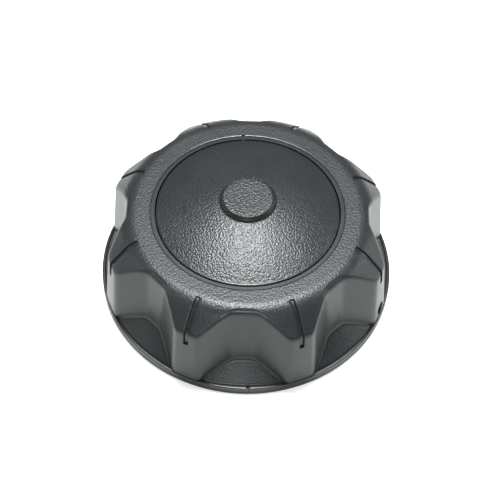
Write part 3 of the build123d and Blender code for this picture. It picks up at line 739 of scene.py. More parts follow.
    def _wall_rows(self, top_z: np.ndarray, foot_z: np.ndarray) -> list[Row]:
        """Rows down the outer wall, even round the outlet and paired at the foot of the grooves.

        Args:
            top_z: Height at which the wall starts, per column.
            foot_z: Height at which it ends, per column.

        Returns:
            The rows, from the top down. Their radius follows from the wall.
        """
        low, high, end = foot_z[self.middle], top_z[self.middle], self.groove_end
        upper = np.linspace(high, end, self.groove_rows)
        lower = np.linspace(end - self.close, self.window[-1], self.wall_rows)[:-1]
        rows = []
        for height in np.concatenate([upper, lower, self.window[::-1]]):
            share = (height - low) / (high - low)
            rows.append(Row(None, foot_z + share * (top_z - foot_z), height > end - HAIR, lobe_height=height))
        return rows

    def _foot_rows(
        self, angle: np.ndarray, foot_r: np.ndarray, foot_z: np.ndarray, reach: np.ndarray,
        in_shelf: np.ndarray,
    ) -> list[Row]:
        """Rows of the hollow at a scallop's foot, down the shelf and up the rim's step. The last shelf row is
        marked for painted shade, a near-black stripe where the shelf meets the step.

        The hollow is a quadratic curve from wall to shelf. Under a lobe, where there is no shelf, the
        same rows share out the last of the wall.

        Args:
            angle: Angle of each column.
            foot_r: Radius of the wall's sharp foot.
            foot_z: Height of the wall's sharp foot.
            reach: How far the hollow reaches from that foot.
            in_shelf: From 0 under a lobe to 1 well inside a shelf.

        Returns:
            The rows, from the wall outwards.
        """
        rows = []
        start_z = foot_z + reach
        start_r = self.outer_wall(angle, start_z)
        end_r = foot_r + reach * np.cos(np.radians(self.shelf_slope))
        end_z = np.where(in_shelf > 0, self.shelf(end_r), foot_z)
        wall_drop = self.wall_drop * (1 - in_shelf)
        for share in np.linspace(0, 1, self.foot_rows):
            r = bend(share, start_r, foot_r, end_r)
            z = bend(share, start_z, foot_z, end_z) + wall_drop * (1 - share / 2)
            r = np.where(in_shelf > 0, r, self.outer_wall(angle, z))
            rows.append(Row(r, z, mark=PLAIN_MARK * (1 - share / 2)))
        for share in np.linspace(0, 1, self.shelf_rows)[1:]:
            r = end_r + (np.maximum(self.shelf_radius, end_r) - end_r) * share
            z = np.where(in_shelf > 0, self.shelf(r), foot_z)
            z = z + wall_drop * (1 - share) / 2
            r = np.where(in_shelf > 0, r, self.outer_wall(angle, z))
            inside = np.minimum(r - end_r, (self.shelf_radius - r) - self.shelf_grain_end)
            mark = np.where(in_shelf > 0, inside - self.shelf_grain_start, PLAIN_MARK)
            rows.append(Row(r, z, mark=mark))
        # Painted shade: a near-black stripe in the crease where the shelf meets the rim's step
        rows[-1].mark = SHADE_LINE_MARK
        return rows

    def _rim_rows(self, foot_r: np.ndarray) -> list[Row]:
        """Rows over the rim's land, down its side and along the underside. The first is marked for painted
        shade, a near-black stripe at the foot of the step.

        Args:
            foot_r: Radius of the wall's foot, per column.

        Returns:
            The rows, from the land to the inside.
        """
        bevel, outer = self.rim_bevel, self.flange_radius
        land = np.maximum(self.shelf_radius, foot_r)
        last = outer - bevel
        rounded = bevel * self.round_share
        top = self.rim_height
        rows = [
            # Painted shade: a near-black stripe at the foot of the rim's step
            Row(land + self.step_run, top - self.step_top, mark=SHADE_LINE_MARK),
            Row(land + self.step_top, top, mark=self.land_mark),
        ]
        profile = [
            ((land + last) / 2, top),
            (last, top),
            (outer - rounded, top - rounded),
            (outer, top - bevel),
            (outer, top - self.notch_depth),
            (outer, top / 3),
            (outer, bevel),
            (outer - rounded, rounded),
            (last, 0),
            (self.rim_inner + bevel, 0),
            (self.rim_inner, bevel),
        ]
        return rows + [Row(*corner) for corner in profile]

    def _inside_rows(self, low: np.ndarray, high: np.ndarray) -> list[Row]:
        """Rows up the inside wall, under the crown, round the roof and out of the recess.

        Args:
            low: Angle of each column near the rim.
            high: Angle of each column near the top.

        Returns:
            The rows, from the rim's inside to the border.
        """
        turn_z = self.under_shelf(self.rim_inner)
        wall_r, wall_z = self.meet(self.inner_wall, self.under_shelf, self.rim_height, low)
        outside = wall_r >= self.rim_inner - self.inner_slack
        wall_z = np.where(outside, turn_z + self.inner_slack, wall_z)
        wall_r = np.where(outside, self.rim_inner, wall_r)
        rows = [Row(self.rim_inner, turn_z)]
        for share in self.shelf_shares:
            r = self.rim_inner + (wall_r - self.rim_inner) * share
            rows.append(Row(r, turn_z + (wall_z - turn_z) * share))
        roof_r, roof_z = self.meet(self.inner_wall, self.under_crown, self.roof_under, high)
        foot, top = wall_z[self.middle], roof_z[self.middle]
        upper = np.linspace(self.window[-1], top, self.inside_rows)[1:]
        for height in np.concatenate([self.window, upper]):
            share = (height - foot) / (top - foot)
            rows.append(Row(None, wall_z + share * (roof_z - wall_z), mark=INNER_MARK, lobe_height=height))
        well_outer = self.border_radius + self.wall
        for share in self.roof_shares:
            r = roof_r + (well_outer - roof_r) * share
            rows.append(Row(r, self.under_crown(r)))
        hole, roof, floor = self.roof_hole, self.roof_under, self.well_floor
        profile = [
            (well_outer, roof),
            (self.roof_middle, roof),
            (hole, roof),
            (hole, floor),
            (self.roof_middle, floor),
            (self.well_radius, floor),
            (self.well_radius, self.border_height),
        ]
        return rows + [Row(*corner) for corner in profile]

    def skin(self) -> Skin:
        """The closed skin of the moulding, with its outlet, ratchet ring, rib and barbs.

        Returns:
            The points and faces, in millimetres.
        """
        rows = self.rows()
        ones = np.ones(self.columns.count)
        height = np.array([row.height * ones for row in rows])
        mark = np.array([row.mark * ones for row in rows])
        on_wall = np.array([row.radius is None for row in rows])
        inner = np.array([row.radius is None and row.mark == INNER_MARK for row in rows])
        lobes = self.lobe_radius - (height - self.rim_height) * self.draft
        radius = np.array([
            lobe if row.radius is None else row.radius * ones for row, lobe in zip(rows, lobes)
        ])
        angle = self.columns.angles(radius, height)
        windows = [self._window_rows(rows, on_wall & (inner == inside)) for inside in (False, True)]
        for window in windows:
            angle, height = self._bend_window(angle, height, radius, window)
        inner_wall = np.minimum(self.inner_wall(angle, height), self.rim_inner)
        wall = np.where(inner[:, None], inner_wall, self.outer_wall(angle, height))
        radius = np.where(on_wall[:, None], wall, radius)
        angle = self._squeeze_groove(angle, rows)
        radius, height, mark = self._cut_grooves(radius, height, mark, rows)
        radius, height = self._cut_marks(radius, height)
        skin = Skin()
        numbers = skin.add_points(around(radius, angle, height), mark)
        skip, rings = self._outlet_faces(numbers, windows)
        skin.add_sheet(numbers, True, True, skip)
        skin.add_band(rings[0], rings[1])
        self._add_ratchet(skin)
        self._add_rib(skin)
        self._add_barbs(skin)
        return skin

    def _window_rows(self, rows: list[Row], wanted: np.ndarray) -> np.ndarray:
        """Numbers of the rows round the outlet, on one face of the wall, from the lowest up.

        Args:
            rows: All the rows.
            wanted: True for each row of that face.

        Returns:
            The row numbers.
        """
        chosen = [number for number in np.flatnonzero(wanted) if rows[number].lobe_height in self.window]
        return np.array(sorted(chosen, key=lambda number: rows[number].lobe_height))

    def _outlet_columns(self, reach: int) -> np.ndarray:
        """Numbers of the columns within so many steps of the outlet's middle.

        Args:
            reach: Number of steps.

        Returns:
            The column numbers.
        """
        columns = self.columns
        zone = (columns.lobe == columns.outlet_lobe) & (columns.fan == 0)
        return np.flatnonzero(zone & (np.abs(columns.index) <= reach))

    def _bend_window(
        self, angle: np.ndarray, height: np.ndarray, radius: np.ndarray, window: np.ndarray
    ) -> Pair:
        """Bends the squares of the grid round the outlet into rings.

        A point whose larger distance across or up is m keeps its direction and is moved to the
        distance m, out to the hole's edge, and from there to the window's edge ever less.

        Args:
            angle: Angle of each point of the grid.
            height: Height of each point.
            radius: Radius of each point.
            window: Numbers of the window's rows.

        Returns:
            The angles and the heights, with the window bent.
        """
        columns = self.columns
        grid = np.ix_(window, self._outlet_columns(self.window_steps))
        reach = radius[grid]
        across = np.sin(angle[grid] - columns.outlet_angle) * reach
        up = height[grid] - self.outlet_height
        size = np.maximum(np.abs(across), np.abs(up))
        straight = np.hypot(across, up)
        scale = np.where(straight > 0, size / np.maximum(straight, TINY), 1.0)
        edge = self.outlet_radius * self.window_steps / self.hole_steps
        weight = np.clip((edge - size) / (edge - self.outlet_radius), 0.0, 1.0)
        factor = 1 + (scale - 1) * weight
        angle[grid] = columns.outlet_angle + np.arcsin(across * factor / reach)
        height[grid] = self.outlet_height + up * factor
        return angle, height

    def _outlet_faces(
        self, numbers: np.ndarray, windows: list[np.ndarray]
    ) -> tuple[np.ndarray, list[np.ndarray]]:
        """Which faces the outlet leaves out, and the two rings of points round it.

        Args:
            numbers: Grid of point numbers.
            windows: Numbers of the window's rows on the outside wall and on the inside one.

        Returns:
            Grid of True where a face is left out, and the rings outside and inside.
        """
        own = self._outlet_columns(self.hole_steps)
        skip = np.zeros(numbers.shape, bool)
        rings = []
        trim = self.window_steps - self.hole_steps
        for window in windows:
            rows = window[trim:-trim]
            low = np.minimum(rows[:-1], rows[1:])
            skip[np.ix_(low, own[:-1])] = True
            block = numbers[np.ix_(rows, own)]
            sides = [block[0, :-1], block[:-1, -1], block[-1, :0:-1], block[:0:-1, 0]]
            rings.append(np.concatenate(sides))
        return skip, rings

    def _squeeze_groove(self, angle: np.ndarray, rows: list[Row]) -> np.ndarray:
        """Draws the groove's columns together over its rounded inner end.

        Args:
            angle: Angle of each point of the grid.
            rows: The rows, which say how far each is drawn together.

        Returns:
            The angles.
        """
        columns = self.columns
        squeeze = np.array([row.squeeze for row in rows])[:, None]
        inside = (columns.fan == 0) & (np.abs(columns.index) <= columns.lip_count)
        return np.where(inside, columns.middle + (angle - columns.middle) * squeeze, angle)

    def _cut_grooves(
        self, radius: np.ndarray, height: np.ndarray, mark: np.ndarray, rows: list[Row]
    ) -> tuple[np.ndarray, np.ndarray, np.ndarray]:
        """Sinks the groove's columns square to the surface, in the plane through the axis, and marks the
        groove's sides for painted shade, a near-black stripe.

        Args:
            radius: Radius of each point of the grid.
            height: Height of each point.
            mark: Grain mark of each point.
            rows: The rows, which say where the grooves are cut.

        Returns:
            The radii, the heights and the marks.
        """
        columns = self.columns
        steps = np.abs(columns.index)
        across = np.gradient(radius, axis=0)
        down = np.gradient(height, axis=0)
        length = np.maximum(np.hypot(across, down), TINY)
        cut = np.array([row.cut for row in rows])[:, None]
        share = np.array(columns.groove_depths)[steps] * (columns.fan == 0)
        depth = np.where(cut, self.groove_depth * share, 0.0)
        near = cut & (columns.fan == 0) & (steps <= columns.lip_count)
        offset = columns.groove_steps[steps] - self.groove_width / 2 - self.groove_clear
        mark = np.where(near, np.minimum(mark, offset), mark)
        # The groove's sides get painted shade: a near-black stripe
        mark = np.where(near & np.isin(steps, columns.shaded_groove_sides), SHADE_LINE_MARK, mark)
        return radius + depth * down / length, height - depth * across / length, mark

    def _cut_marks(self, radius: np.ndarray, height: np.ndarray) -> Pair:
        """Cuts the notch in the rim and the notch across the border.

        Args:
            radius: Radius of each point of the grid.
            height: Height of each point.

        Returns:
            The radii and the heights.
        """
        angle = self.columns.angles(radius, height)
        (notch, notch_half), (tick, tick_half) = self.columns.marks
        inside = np.abs(angle - notch) < notch_half + ANGLE_SLACK
        rim = inside & (radius > self.shelf_radius - HAIR) & (height > self.rim_height - self.notch_depth)
        height = np.where(rim, self.rim_height - self.notch_depth, height)
        off = np.abs((angle - tick + np.pi) % (2 * np.pi) - np.pi)
        inside = off < tick_half + ANGLE_SLACK
        reach = self.border_radius + self.tick_reach + HAIR
        top = inside & (radius < reach) & (radius > self.well_radius - HAIR)
        top &= height > self.border_height - HAIR
        return radius, np.where(top, self.border_height - self.border_depth, height)

    def _add_ratchet(self, skin: Skin) -> None:
        """Adds the ring of ratchet teeth: straight ramps inside, a round wall outside.

        Args:
            skin: Mesh that it is added to.
        """
        shares = np.array(self.tooth_corners)
        whole = self.tooth_share * 2 * np.pi / self.tooth_count
        part = shares / self.tooth_share * whole
        across = self.tooth_tip * np.sin(part) + self.tooth_root * np.sin(whole - part)
        ramp = self.tooth_tip * self.tooth_root * np.sin(whole) / across
        teeth = np.arange(self.tooth_count)[:, None]
        angle = ((teeth + shares) * 2 * np.pi / self.tooth_count).reshape(-1)
        inner = np.tile(ramp, self.tooth_count)
        top = self.ring_height - 2 * self.wall / 3
        skin.add_ring(angle, inner, self.ratchet_outer, self.ratchet_bottom, top)

    def _add_rib(self, skin: Skin) -> None:
        """Adds the rib that bears on the thrust washer."""
        top = self.well_floor - self.roof_wall / 2
        skin.add_ring(whole_turn(self.rib_columns), self.rib_inner, self.rib_outer, self.rib_bottom, top)

    def _add_barbs(self, skin: Skin) -> None:
        """Adds the barbs under the closure's collar, one at the middle of each scallop.

        Args:
            skin: Mesh that they are added to.
        """
        outer = self.scallop_radius - (self.barb_top - self.rim_height) * self.draft - self.wall / 2
        top, low = self.barb_top, self.barb_top - self.barb_height
        section = [
            (self.barb_inner, top),
            (self.barb_inner, top - self.barb_height / 2),
            (self.barb_inner + self.barb_lead, low),
            (outer, low),
            (outer, top),
        ]
        turns = self.front + np.arange(self.lobe_count) * self.pitch
        skin.add_strips(section, turns, self.barb_width)

    def build(self) -> bpy.types.Object:
        """Builds the grip's piece.

        Returns:
            The piece, which stands for the node grip_cover.
        """
        piece = self.skin().to_object("grip_moulding", Body.GRIP, "grip_plastic", MOULDED_SHARP)
        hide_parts("grip_cover")
        return piece


@dataclass
class CoverDisc:
    """The disc in the middle of the grip: a shallow dome with a boss, a skirt and four clips."""

    disc_radius: float
    top_height: float
    boss_height: float = 1.35
    dome_height: float = 4.7
    dome_bulge: float = 0.4
    boss_top: float = 7.55
    boss_base: float = 8.3
    boss_round: float = 0.35
    edge_round: float = 0.4
    wall: float = 2.0
    skirt: float = 1.8
    seat_depth: float = 4.6
    roof_wall: float = 2.3
    clip_radius: float = 17.0
    clip_thickness: float = 1.2
    clip_width: float = 5.0
    clip_barb: float = 0.7
    clip_barb_height: float = 1.2
    clip_gap: float = 0.3
    clip_count: int = 4
    column_count: int = 256
    arc_points: int = 7
    flank_points: int = 5
    dome_points: int = 30
    under_points: int = 8
    foot_gap: float = 0.06
    foot_lift: float = 0.08
    hollow_runs: tuple[float, ...] = (0.04, 0.16, 0.32)
    hollow_lift: float = 0.02
    dome_start: float = 0.5
    lip: float = 0.15
    grain_inset: float = 0.5
    foot_inset: float = 0.25
    lid_inset: float = 0.1
    lid_depth: float = 1.0
    flank_start: float = 0.2
    flank_mark: float = -0.6
    # Half width and top of the near-black stripe of painted shade round the boss's foot
    shade_line_half: float = 0.3
    shade_line_top: float = 0.5
    middle_mark: float = 2.0

    def __post_init__(self) -> None:
        """Works out the heights that follow from the sizes."""
        self.boss_foot = self.top_height - self.boss_height
        self.edge_height = self.boss_foot - self.dome_height

    def dome(self, radius: np.ndarray) -> np.ndarray:
        """Height of the dome: a straight fall from boss to edge plus a parabola that peaks half way.

        Args:
            radius: Radius of each point.

        Returns:
            The heights.
        """
        span = self.disc_radius - self.boss_base
        share = (self.disc_radius - radius) / span
        return self.edge_height + self.dome_height * share + 4 * self.dome_bulge * share * (1 - share)

    def profile(self) -> tuple[np.ndarray, np.ndarray, np.ndarray]:
        """The outline that is turned about the axis, from the boss's middle round to the underside.

        Returns:
            Radius, height and grain mark of each of its points.
        """
        turn = np.linspace(0, np.pi / 2, self.arc_points)
        top_r = self.boss_top - self.boss_round
        lid_r = np.linspace(0, top_r, self.arc_points)[1:-1]
        round_r = top_r + self.boss_round * np.sin(turn)
        round_z = self.top_height - self.boss_round * (1 - np.cos(turn))
        flank_r = np.linspace(round_r[-1], self.boss_base - self.foot_gap, self.flank_points)[1:]
        flank_z = np.linspace(round_z[-1], self.boss_foot + self.foot_lift, self.flank_points)[1:]
        hollow_r = self.boss_base + np.array(self.hollow_runs)
        hollow_z = self.dome(hollow_r) + np.array([self.hollow_lift, 0.0, 0.0])
        edge, rim = self.edge_round, self.disc_radius
        dome_r = np.linspace(self.boss_base + self.dome_start, rim - edge, self.dome_points)
        rim_r = rim - edge * (1 - np.sin(turn[1:]))
        rim_z = self.dome(rim - edge) - edge * (1 - np.cos(turn[1:]))
        floor, inner = self.edge_height - self.seat_depth, rim - self.skirt
        under_r = np.linspace(inner, self.boss_base, self.under_points)
        core, roof = self.boss_top - self.wall, self.top_height - self.wall
        tail_r = [rim, rim - self.lip, inner + self.lip, inner]
        tail_z = [floor + self.lip, floor, floor, floor + self.lip]
        radius = [lid_r, round_r, flank_r, hollow_r, dome_r, rim_r, tail_r, under_r, [core, core / 2]]
        height = [
            np.full(len(lid_r), self.top_height), round_z, flank_z, hollow_z, self.dome(dome_r), rim_z,
            tail_z, self.dome(under_r) - self.wall, [roof, roof],
        ]
        seen = sum(len(part) for part in radius[:6])
        radius, height = np.concatenate(radius), np.concatenate(height)
        return radius, height, np.where(np.arange(len(radius)) < seen, self.grain(radius, height), PLAIN_MARK)

    def grain(self, radius: np.ndarray, height: np.ndarray) -> np.ndarray:
        """Grain mark: how deep a point lies inside the dome's or the lid's area, with painted shade, a
        near-black stripe, round the boss's foot.

        Args:
            radius: Radius of each point of the outside.
            height: Height of each point.

        Returns:
            The marks.
        """
        away = np.abs(radius - self.boss_base)
        top_r = self.boss_top - self.boss_round
        mark = np.minimum(away - self.foot_inset, self.disc_radius - radius - self.grain_inset)
        lid = (radius < self.boss_top + HAIR) & (height > self.top_height - self.lid_depth)
        mark = np.where(lid, top_r + self.lid_inset - radius, mark)
        flank = (radius > top_r + self.flank_start) & (radius < self.boss_base + self.lid_inset)
        mark = np.where(flank, self.flank_mark, mark)
        # Painted shade round the boss's foot, where its flank meets the dome
        shade_line = (away < self.shade_line_half) & (height < self.boss_foot + self.shade_line_top)
        return np.where(shade_line, SHADE_LINE_MARK, mark)

    def build(self) -> bpy.types.Object:
        """Builds the disc's piece: its profile turned about the axis, with strips for the clips.

        Returns:
            The piece, which stands for the node cover_disc.
        """
        radius, height, grain = self.profile()
        angle = whole_turn(self.column_count)
        skin = Skin()
        marks = np.repeat(grain[:, None], len(angle), axis=1)
        numbers = skin.add_points(around(radius[:, None], angle, height[:, None]), marks)
        skin.add_sheet(numbers, False, True)
        top = skin.add_points(np.array([[0, 0, height[0]]]), np.array([self.middle_mark]))
        base = skin.add_points(np.array([[0, 0, height[-1]]]))
        skin.add_fan(int(top[0]), numbers[0, ::-1])
        skin.add_fan(int(base[0]), numbers[-1])
        self._add_clips(skin)
        piece = skin.to_object("cover_disc_moulding", Body.GRIP, "disc_plastic", MOULDED_SHARP)
        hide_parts("cover_disc")
        return piece

    def _add_clips(self, skin: Skin) -> None:
        """Adds the clips, each a barbed strip.

        Args:
            skin: Mesh that they are added to.
        """
        outer = self.clip_radius + self.clip_thickness
        hook = self.edge_height - self.seat_depth - self.roof_wall - self.clip_gap
        section = [
            (self.clip_radius, hook - self.clip_barb_height),
            (outer, hook - self.clip_barb_height),
            (outer + self.clip_barb, hook - self.clip_barb / 2),
            (outer + self.clip_barb, hook),
            (outer, hook),
            (outer, float(self.dome(outer)) - self.wall / 2),
            (self.clip_radius, float(self.dome(self.clip_radius)) - self.wall / 2),
        ]
        turns = np.arange(self.clip_count) * 2 * np.pi / self.clip_count
        skin.add_strips(section, turns, self.clip_width)


@dataclass
class CoilSpring:
    """A coil spring of round wire, built at one length in its CAD node's box."""

    node: str
    name: str
    body: Body
    joint: str
    wire: float
    turns: float
    travel: float
    grows_up: bool
    steps: int = 40
    sides: int = 12

    def build(self) -> bpy.types.Object:
        """Builds the spring in the CAD node's place.

        The wire's middle winds at one radius and rises evenly. Each ring of points lies square to it,
        in the plane of the outward direction and the wire's own upward normal.

        Returns:
            The piece, which stands for the node.
        """
        low, high = (np.array(corner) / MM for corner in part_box(self.node))
        radius = high[0] - self.wire / 2
        bottom, top = low[2], high[2]
        rise = top - bottom - self.wire
        share = np.linspace(0, 1, int(self.steps * self.turns) + 1)
        turn = share * self.turns * 2 * np.pi
        out = around(1.0, turn, 0.0)
        climb = np.full_like(turn, rise / (self.turns * 2 * np.pi * radius))
        ahead = np.stack([-np.sin(turn), np.cos(turn), climb], axis=-1)
        ahead /= np.linalg.norm(ahead, axis=1, keepdims=True)
        up = np.cross(out, ahead)
        middle = out * radius + around(0.0, turn, bottom + self.wire / 2 + share * rise)
        spin = whole_turn(self.sides)[:, None, None]
        rings = middle + (out * np.cos(spin) + up * np.sin(spin)) * self.wire / 2
        skin = Skin()
        numbers = skin.add_points(rings)
        skin.add_sheet(numbers, True, False)
        ends = skin.add_points(middle[[0, -1]])
        skin.add_fan(int(ends[0]), numbers[:, 0])
        skin.add_fan(int(ends[1]), numbers[::-1, -1])
        piece = skin.to_object(self.name, self.body, "spring_steel", WIRE_SHARP)
        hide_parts(self.node)
        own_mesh(piece)
        return piece


class Graph:
    """The node tree of one material or world, with one method that adds any node."""

    def __init__(self, owner: bpy.types.Material | bpy.types.World) -> None:
        """Empties the owner's node tree.

        Args:
            owner: The material or world.
        """
        self.owner = owner
        owner.use_nodes = True
        self.tree = owner.node_tree
        self.tree.nodes.clear()

    @classmethod
    def material(cls, name: str) -> "Graph":
        """Starts an empty material of that name."""
        return cls(bpy.data.materials.new(name))

    def node(self, kind: str, settings: dict | None = None, inputs: dict | None = None) -> bpy.types.Node:
        """Adds a node.

        Args:
            kind: Blender's name of the node's type.
            settings: Properties of the node, set before its sockets.
            inputs: Values or links of its sockets, by name or number.

        Returns:
            The node.
        """
        made = self.tree.nodes.new(kind)
        for key, value in (settings or {}).items():
            setattr(made, key, value)
        for key, value in (inputs or {}).items():
            socket = made.inputs[key]
            if isinstance(value, Level):
                self.tree.links.new(value.socket, socket)
            elif isinstance(value, bpy.types.NodeSocket):
                self.tree.links.new(value, socket)
            else:
                socket.default_value = value
        return made

    def level(
        self, kind: str, output: str | int = 0, settings: dict | None = None, inputs: dict | None = None
    ) -> "Level":
        """Adds a node and returns one output of it as a number that can be calculated with."""
        return Level(self, self.node(kind, settings, inputs).outputs[output])

    def mix(
        self, share: "Level", first: Colour | bpy.types.NodeSocket, second: Colour
    ) -> bpy.types.NodeSocket:
        """A colour that goes from the first to the second as the share goes from 0 to 1.

        Args:
            share: The share of the second colour.
            first: A colour, or a socket that gives one.
            second: The other colour.

        Returns:
            The socket that gives the mixed colour.
        """
        if isinstance(first, tuple):
            first = (*first, 1.0)
        node = self.node("ShaderNodeMix", {"data_type": "RGBA"}, {0: share, 6: first, 7: (*second, 1.0)})
        return node.outputs[2]

    def place(self) -> bpy.types.NodeSocket:
        """The object's own coordinates, in metres."""
        return self.node("ShaderNodeTexCoord").outputs["Object"]

    def noise(
        self, scale: float, detail: float, rough: float = 0.5, place: bpy.types.NodeSocket | None = None
    ) -> "Level":
        """A cloudy pattern.

        Args:
            scale: Its waves to the metre.
            detail: How many finer clouds are laid over the first.
            rough: How strong those are.
            place: Coordinates that it follows, or None for the object's own.

        Returns:
            Its height, around 0.5.
        """
        inputs = {"Vector": place or self.place(), "Scale": scale, "Detail": detail, "Roughness": rough}
        return self.level("ShaderNodeTexNoise", 0, None, inputs)

    def finish(self, inputs: dict, bump: "Level | None" = None, depth: float = 0.0) -> bpy.types.Material:
        """Adds the surface shader, with a bump when a height is given.

        Args:
            inputs: Values or links of the shader's sockets.
            bump: Height of the surface's fine texture.
            depth: What a height of one stands for, in metres.

        Returns:
            The material.
        """
        if bump is not None:
            raised = self.node("ShaderNodeBump", None, {"Height": bump, "Distance": depth, "Strength": 1.0})
            inputs = {**inputs, "Normal": raised.outputs[0]}
        shader = self.node("ShaderNodeBsdfPrincipled", None, inputs)
        self.node("ShaderNodeOutputMaterial", None, {"Surface": shader.outputs[0]})
        return self.owner


@dataclass(frozen=True)
class Level:
    """A number coming out of a node. Arithmetic on it adds Math nodes."""

    graph: Graph
    socket: bpy.types.NodeSocket

    def math(self, operation: str, *values: "Level | float") -> "Level":
        """The result of one Math node on these values."""
        inputs = dict(enumerate(values))
        return self.graph.level("ShaderNodeMath", 0, {"operation": operation}, inputs)

    def __add__(self, other: "Level | float") -> "Level":
        """The sum."""
        return self.math("ADD", self, other)

    __radd__ = __add__

    def __sub__(self, other: "Level | float") -> "Level":
        """The difference."""
        return self.math("SUBTRACT", self, other)

    def __rsub__(self, other: "Level | float") -> "Level":
        """The difference from another value."""
        return self.math("SUBTRACT", other, self)

    def __mul__(self, other: "Level | float") -> "Level":
        """The product."""
        return self.math("MULTIPLY", self, other)

    __rmul__ = __mul__

    def __truediv__(self, other: "Level | float") -> "Level":
        """The quotient."""
        return self.math("DIVIDE", self, other)

    def smooth(self, low: float, high: float) -> "Level":
        """An S-curve over this number.

        Args:
            low: Where it is 0.
            high: Where it is 1.

        Returns:
            The curve's value.
        """
        settings = {"interpolation_type": "SMOOTHSTEP"}
        inputs = {"Value": self, "From Min": low, "From Max": high}
        return self.graph.level("ShaderNodeMapRange", 0, settings, inputs)


@dataclass(frozen=True)
class GrainedPlastic:
    """Black moulded plastic: leather grain where the mesh is marked for it, satin elsewhere, and painted
    shade, a near-black stripe, in the creases marked for it.
    """

    name: str
    colour: Colour = (0.011, 0.013, 0.014)
    pale: Colour = (0.020, 0.023, 0.024)
    # Near-black colour of the painted shade along creases
    shade_line: Colour = (0.002, 0.002, 0.002)
    grain_pitch: float = 0.6
    grain_depth: float = 0.058
    grain_fade: float = 0.12
    cloud_scale: float = 1.7
    cloud_share: float = 0.5
    fine_scale: float = 4.0
    fine_share: float = 0.06
    broad_waves: float = 70.0
    pebble_tone: tuple[float, float] = (0.35, 1.05)
    broad_tone: tuple[float, float] = (0.35, 0.7)
    tone_shares: tuple[float, float] = (0.35, 0.25)
    grained_rough: float = 0.35
    smooth_rough: float = 0.28
    broad_rough: float = 0.08
    shade_line_rough: float = 0.6
    specular: float = 0.4

    def build(self) -> bpy.types.Material:
        """Builds the material.

        The grain is a pattern of small pebbles: one less the distance to the nearest of scattered
        points, with a finer cloud added. It fades out where the mark falls under zero. Where the
        mark is far below zero the surface is painted shade: a dull, near-black stripe along a crease.

        Returns:
            The material.
        """
        graph = Graph.material(self.name)
        place = graph.place()
        mark = graph.level("ShaderNodeAttribute", "Fac", {"attribute_name": "grain_and_shade_mark"})
        grained = mark.smooth(0.0, self.grain_fade)
        # Share of painted shade: 1 on the crease stripes
        shade_line = 1.0 - mark.smooth(SHADE_LINE_MARK * 0.7, SHADE_LINE_MARK * 0.3)
        scale = 1 / (self.grain_pitch * MM)
        cells = graph.level(
            "ShaderNodeTexVoronoi", "Distance", {"feature": "SMOOTH_F1"},
            {"Vector": place, "Scale": scale, "Smoothness": 0.2, "Randomness": 1.0},
        )
        cloud = graph.noise(scale * self.cloud_scale, 2.0, 0.5, place)
        pebble = (1.0 - cells) + cloud * self.cloud_share
        fine = graph.noise(scale * self.fine_scale, 2.0, 0.6, place)
        height = pebble * grained + fine * self.fine_share
        broad = graph.noise(self.broad_waves, 3.0, 0.55, place)
        pale_pebble, pale_patch = self.tone_shares
        tone = pebble.smooth(*self.pebble_tone) * grained * pale_pebble
        tone = tone + broad.smooth(*self.broad_tone) * pale_patch
        clean = graph.mix(tone, self.colour, self.pale)
        # Painted shade darkens the crease stripes to near black
        colour = graph.mix(shade_line, clean, self.shade_line)
        rough = self.smooth_rough + grained * (self.grained_rough - self.smooth_rough)
        rough = rough + broad * self.broad_rough + shade_line * self.shade_line_rough
        inputs = {"Base Color": colour, "Roughness": rough, "Specular IOR Level": self.specular}
        return graph.finish(inputs, height, self.grain_depth * MM)


@dataclass(frozen=True)
class MouldedPlastic:
    """Plain moulded plastic with a faint spark-eroded texture and flow marks."""

    name: str
    colour: Colour
    pale: Colour
    rough: float
    broad_waves: float = 90.0
    fine_waves: float = 3200.0
    texture_depth: float = 0.012

    def build(self) -> bpy.types.Material:
        """Builds the material: a fine cloud for the texture and a broad one for the colour.

        Returns:
            The material.
        """
        graph = Graph.material(self.name)
        place = graph.place()
        broad = graph.noise(self.broad_waves, 4.0, 0.6, place)
        fine = graph.noise(self.fine_waves, 2.0, 0.6, place)
        colour = graph.mix(broad.smooth(0.3, 0.75), self.colour, self.pale)
        inputs = {"Base Color": colour, "Roughness": self.rough + broad * 0.12}
        return graph.finish(inputs, fine, self.texture_depth * MM)


@dataclass(frozen=True)
class Rubber:
    """Moulded rubber: dull, with a bloom of dust in patches."""

    name: str
    colour: Colour
    bloom: Colour
    rough: float = 0.62
    patch_waves: float = 140.0
    patch_edge: tuple[float, float] = (0.42, 0.72)
    pit_waves: float = 2600.0
    pit_depth: float = 0.02

    def build(self) -> bpy.types.Material:
        """Builds the material: bloom where a broad cloud is high, over a finely pitted face.

        Returns:
            The material.
        """
        graph = Graph.material(self.name)
        place = graph.place()
        patch = graph.noise(self.patch_waves, 5.0, 0.65, place).smooth(*self.patch_edge)
        pits = graph.noise(self.pit_waves, 3.0, 0.7, place)
        colour = graph.mix(patch * 0.6, self.colour, self.bloom)
        inputs = {"Base Color": colour, "Roughness": self.rough + patch * 0.2, "Specular IOR Level": 0.35}
        return graph.finish(inputs, pits, self.pit_depth * MM)


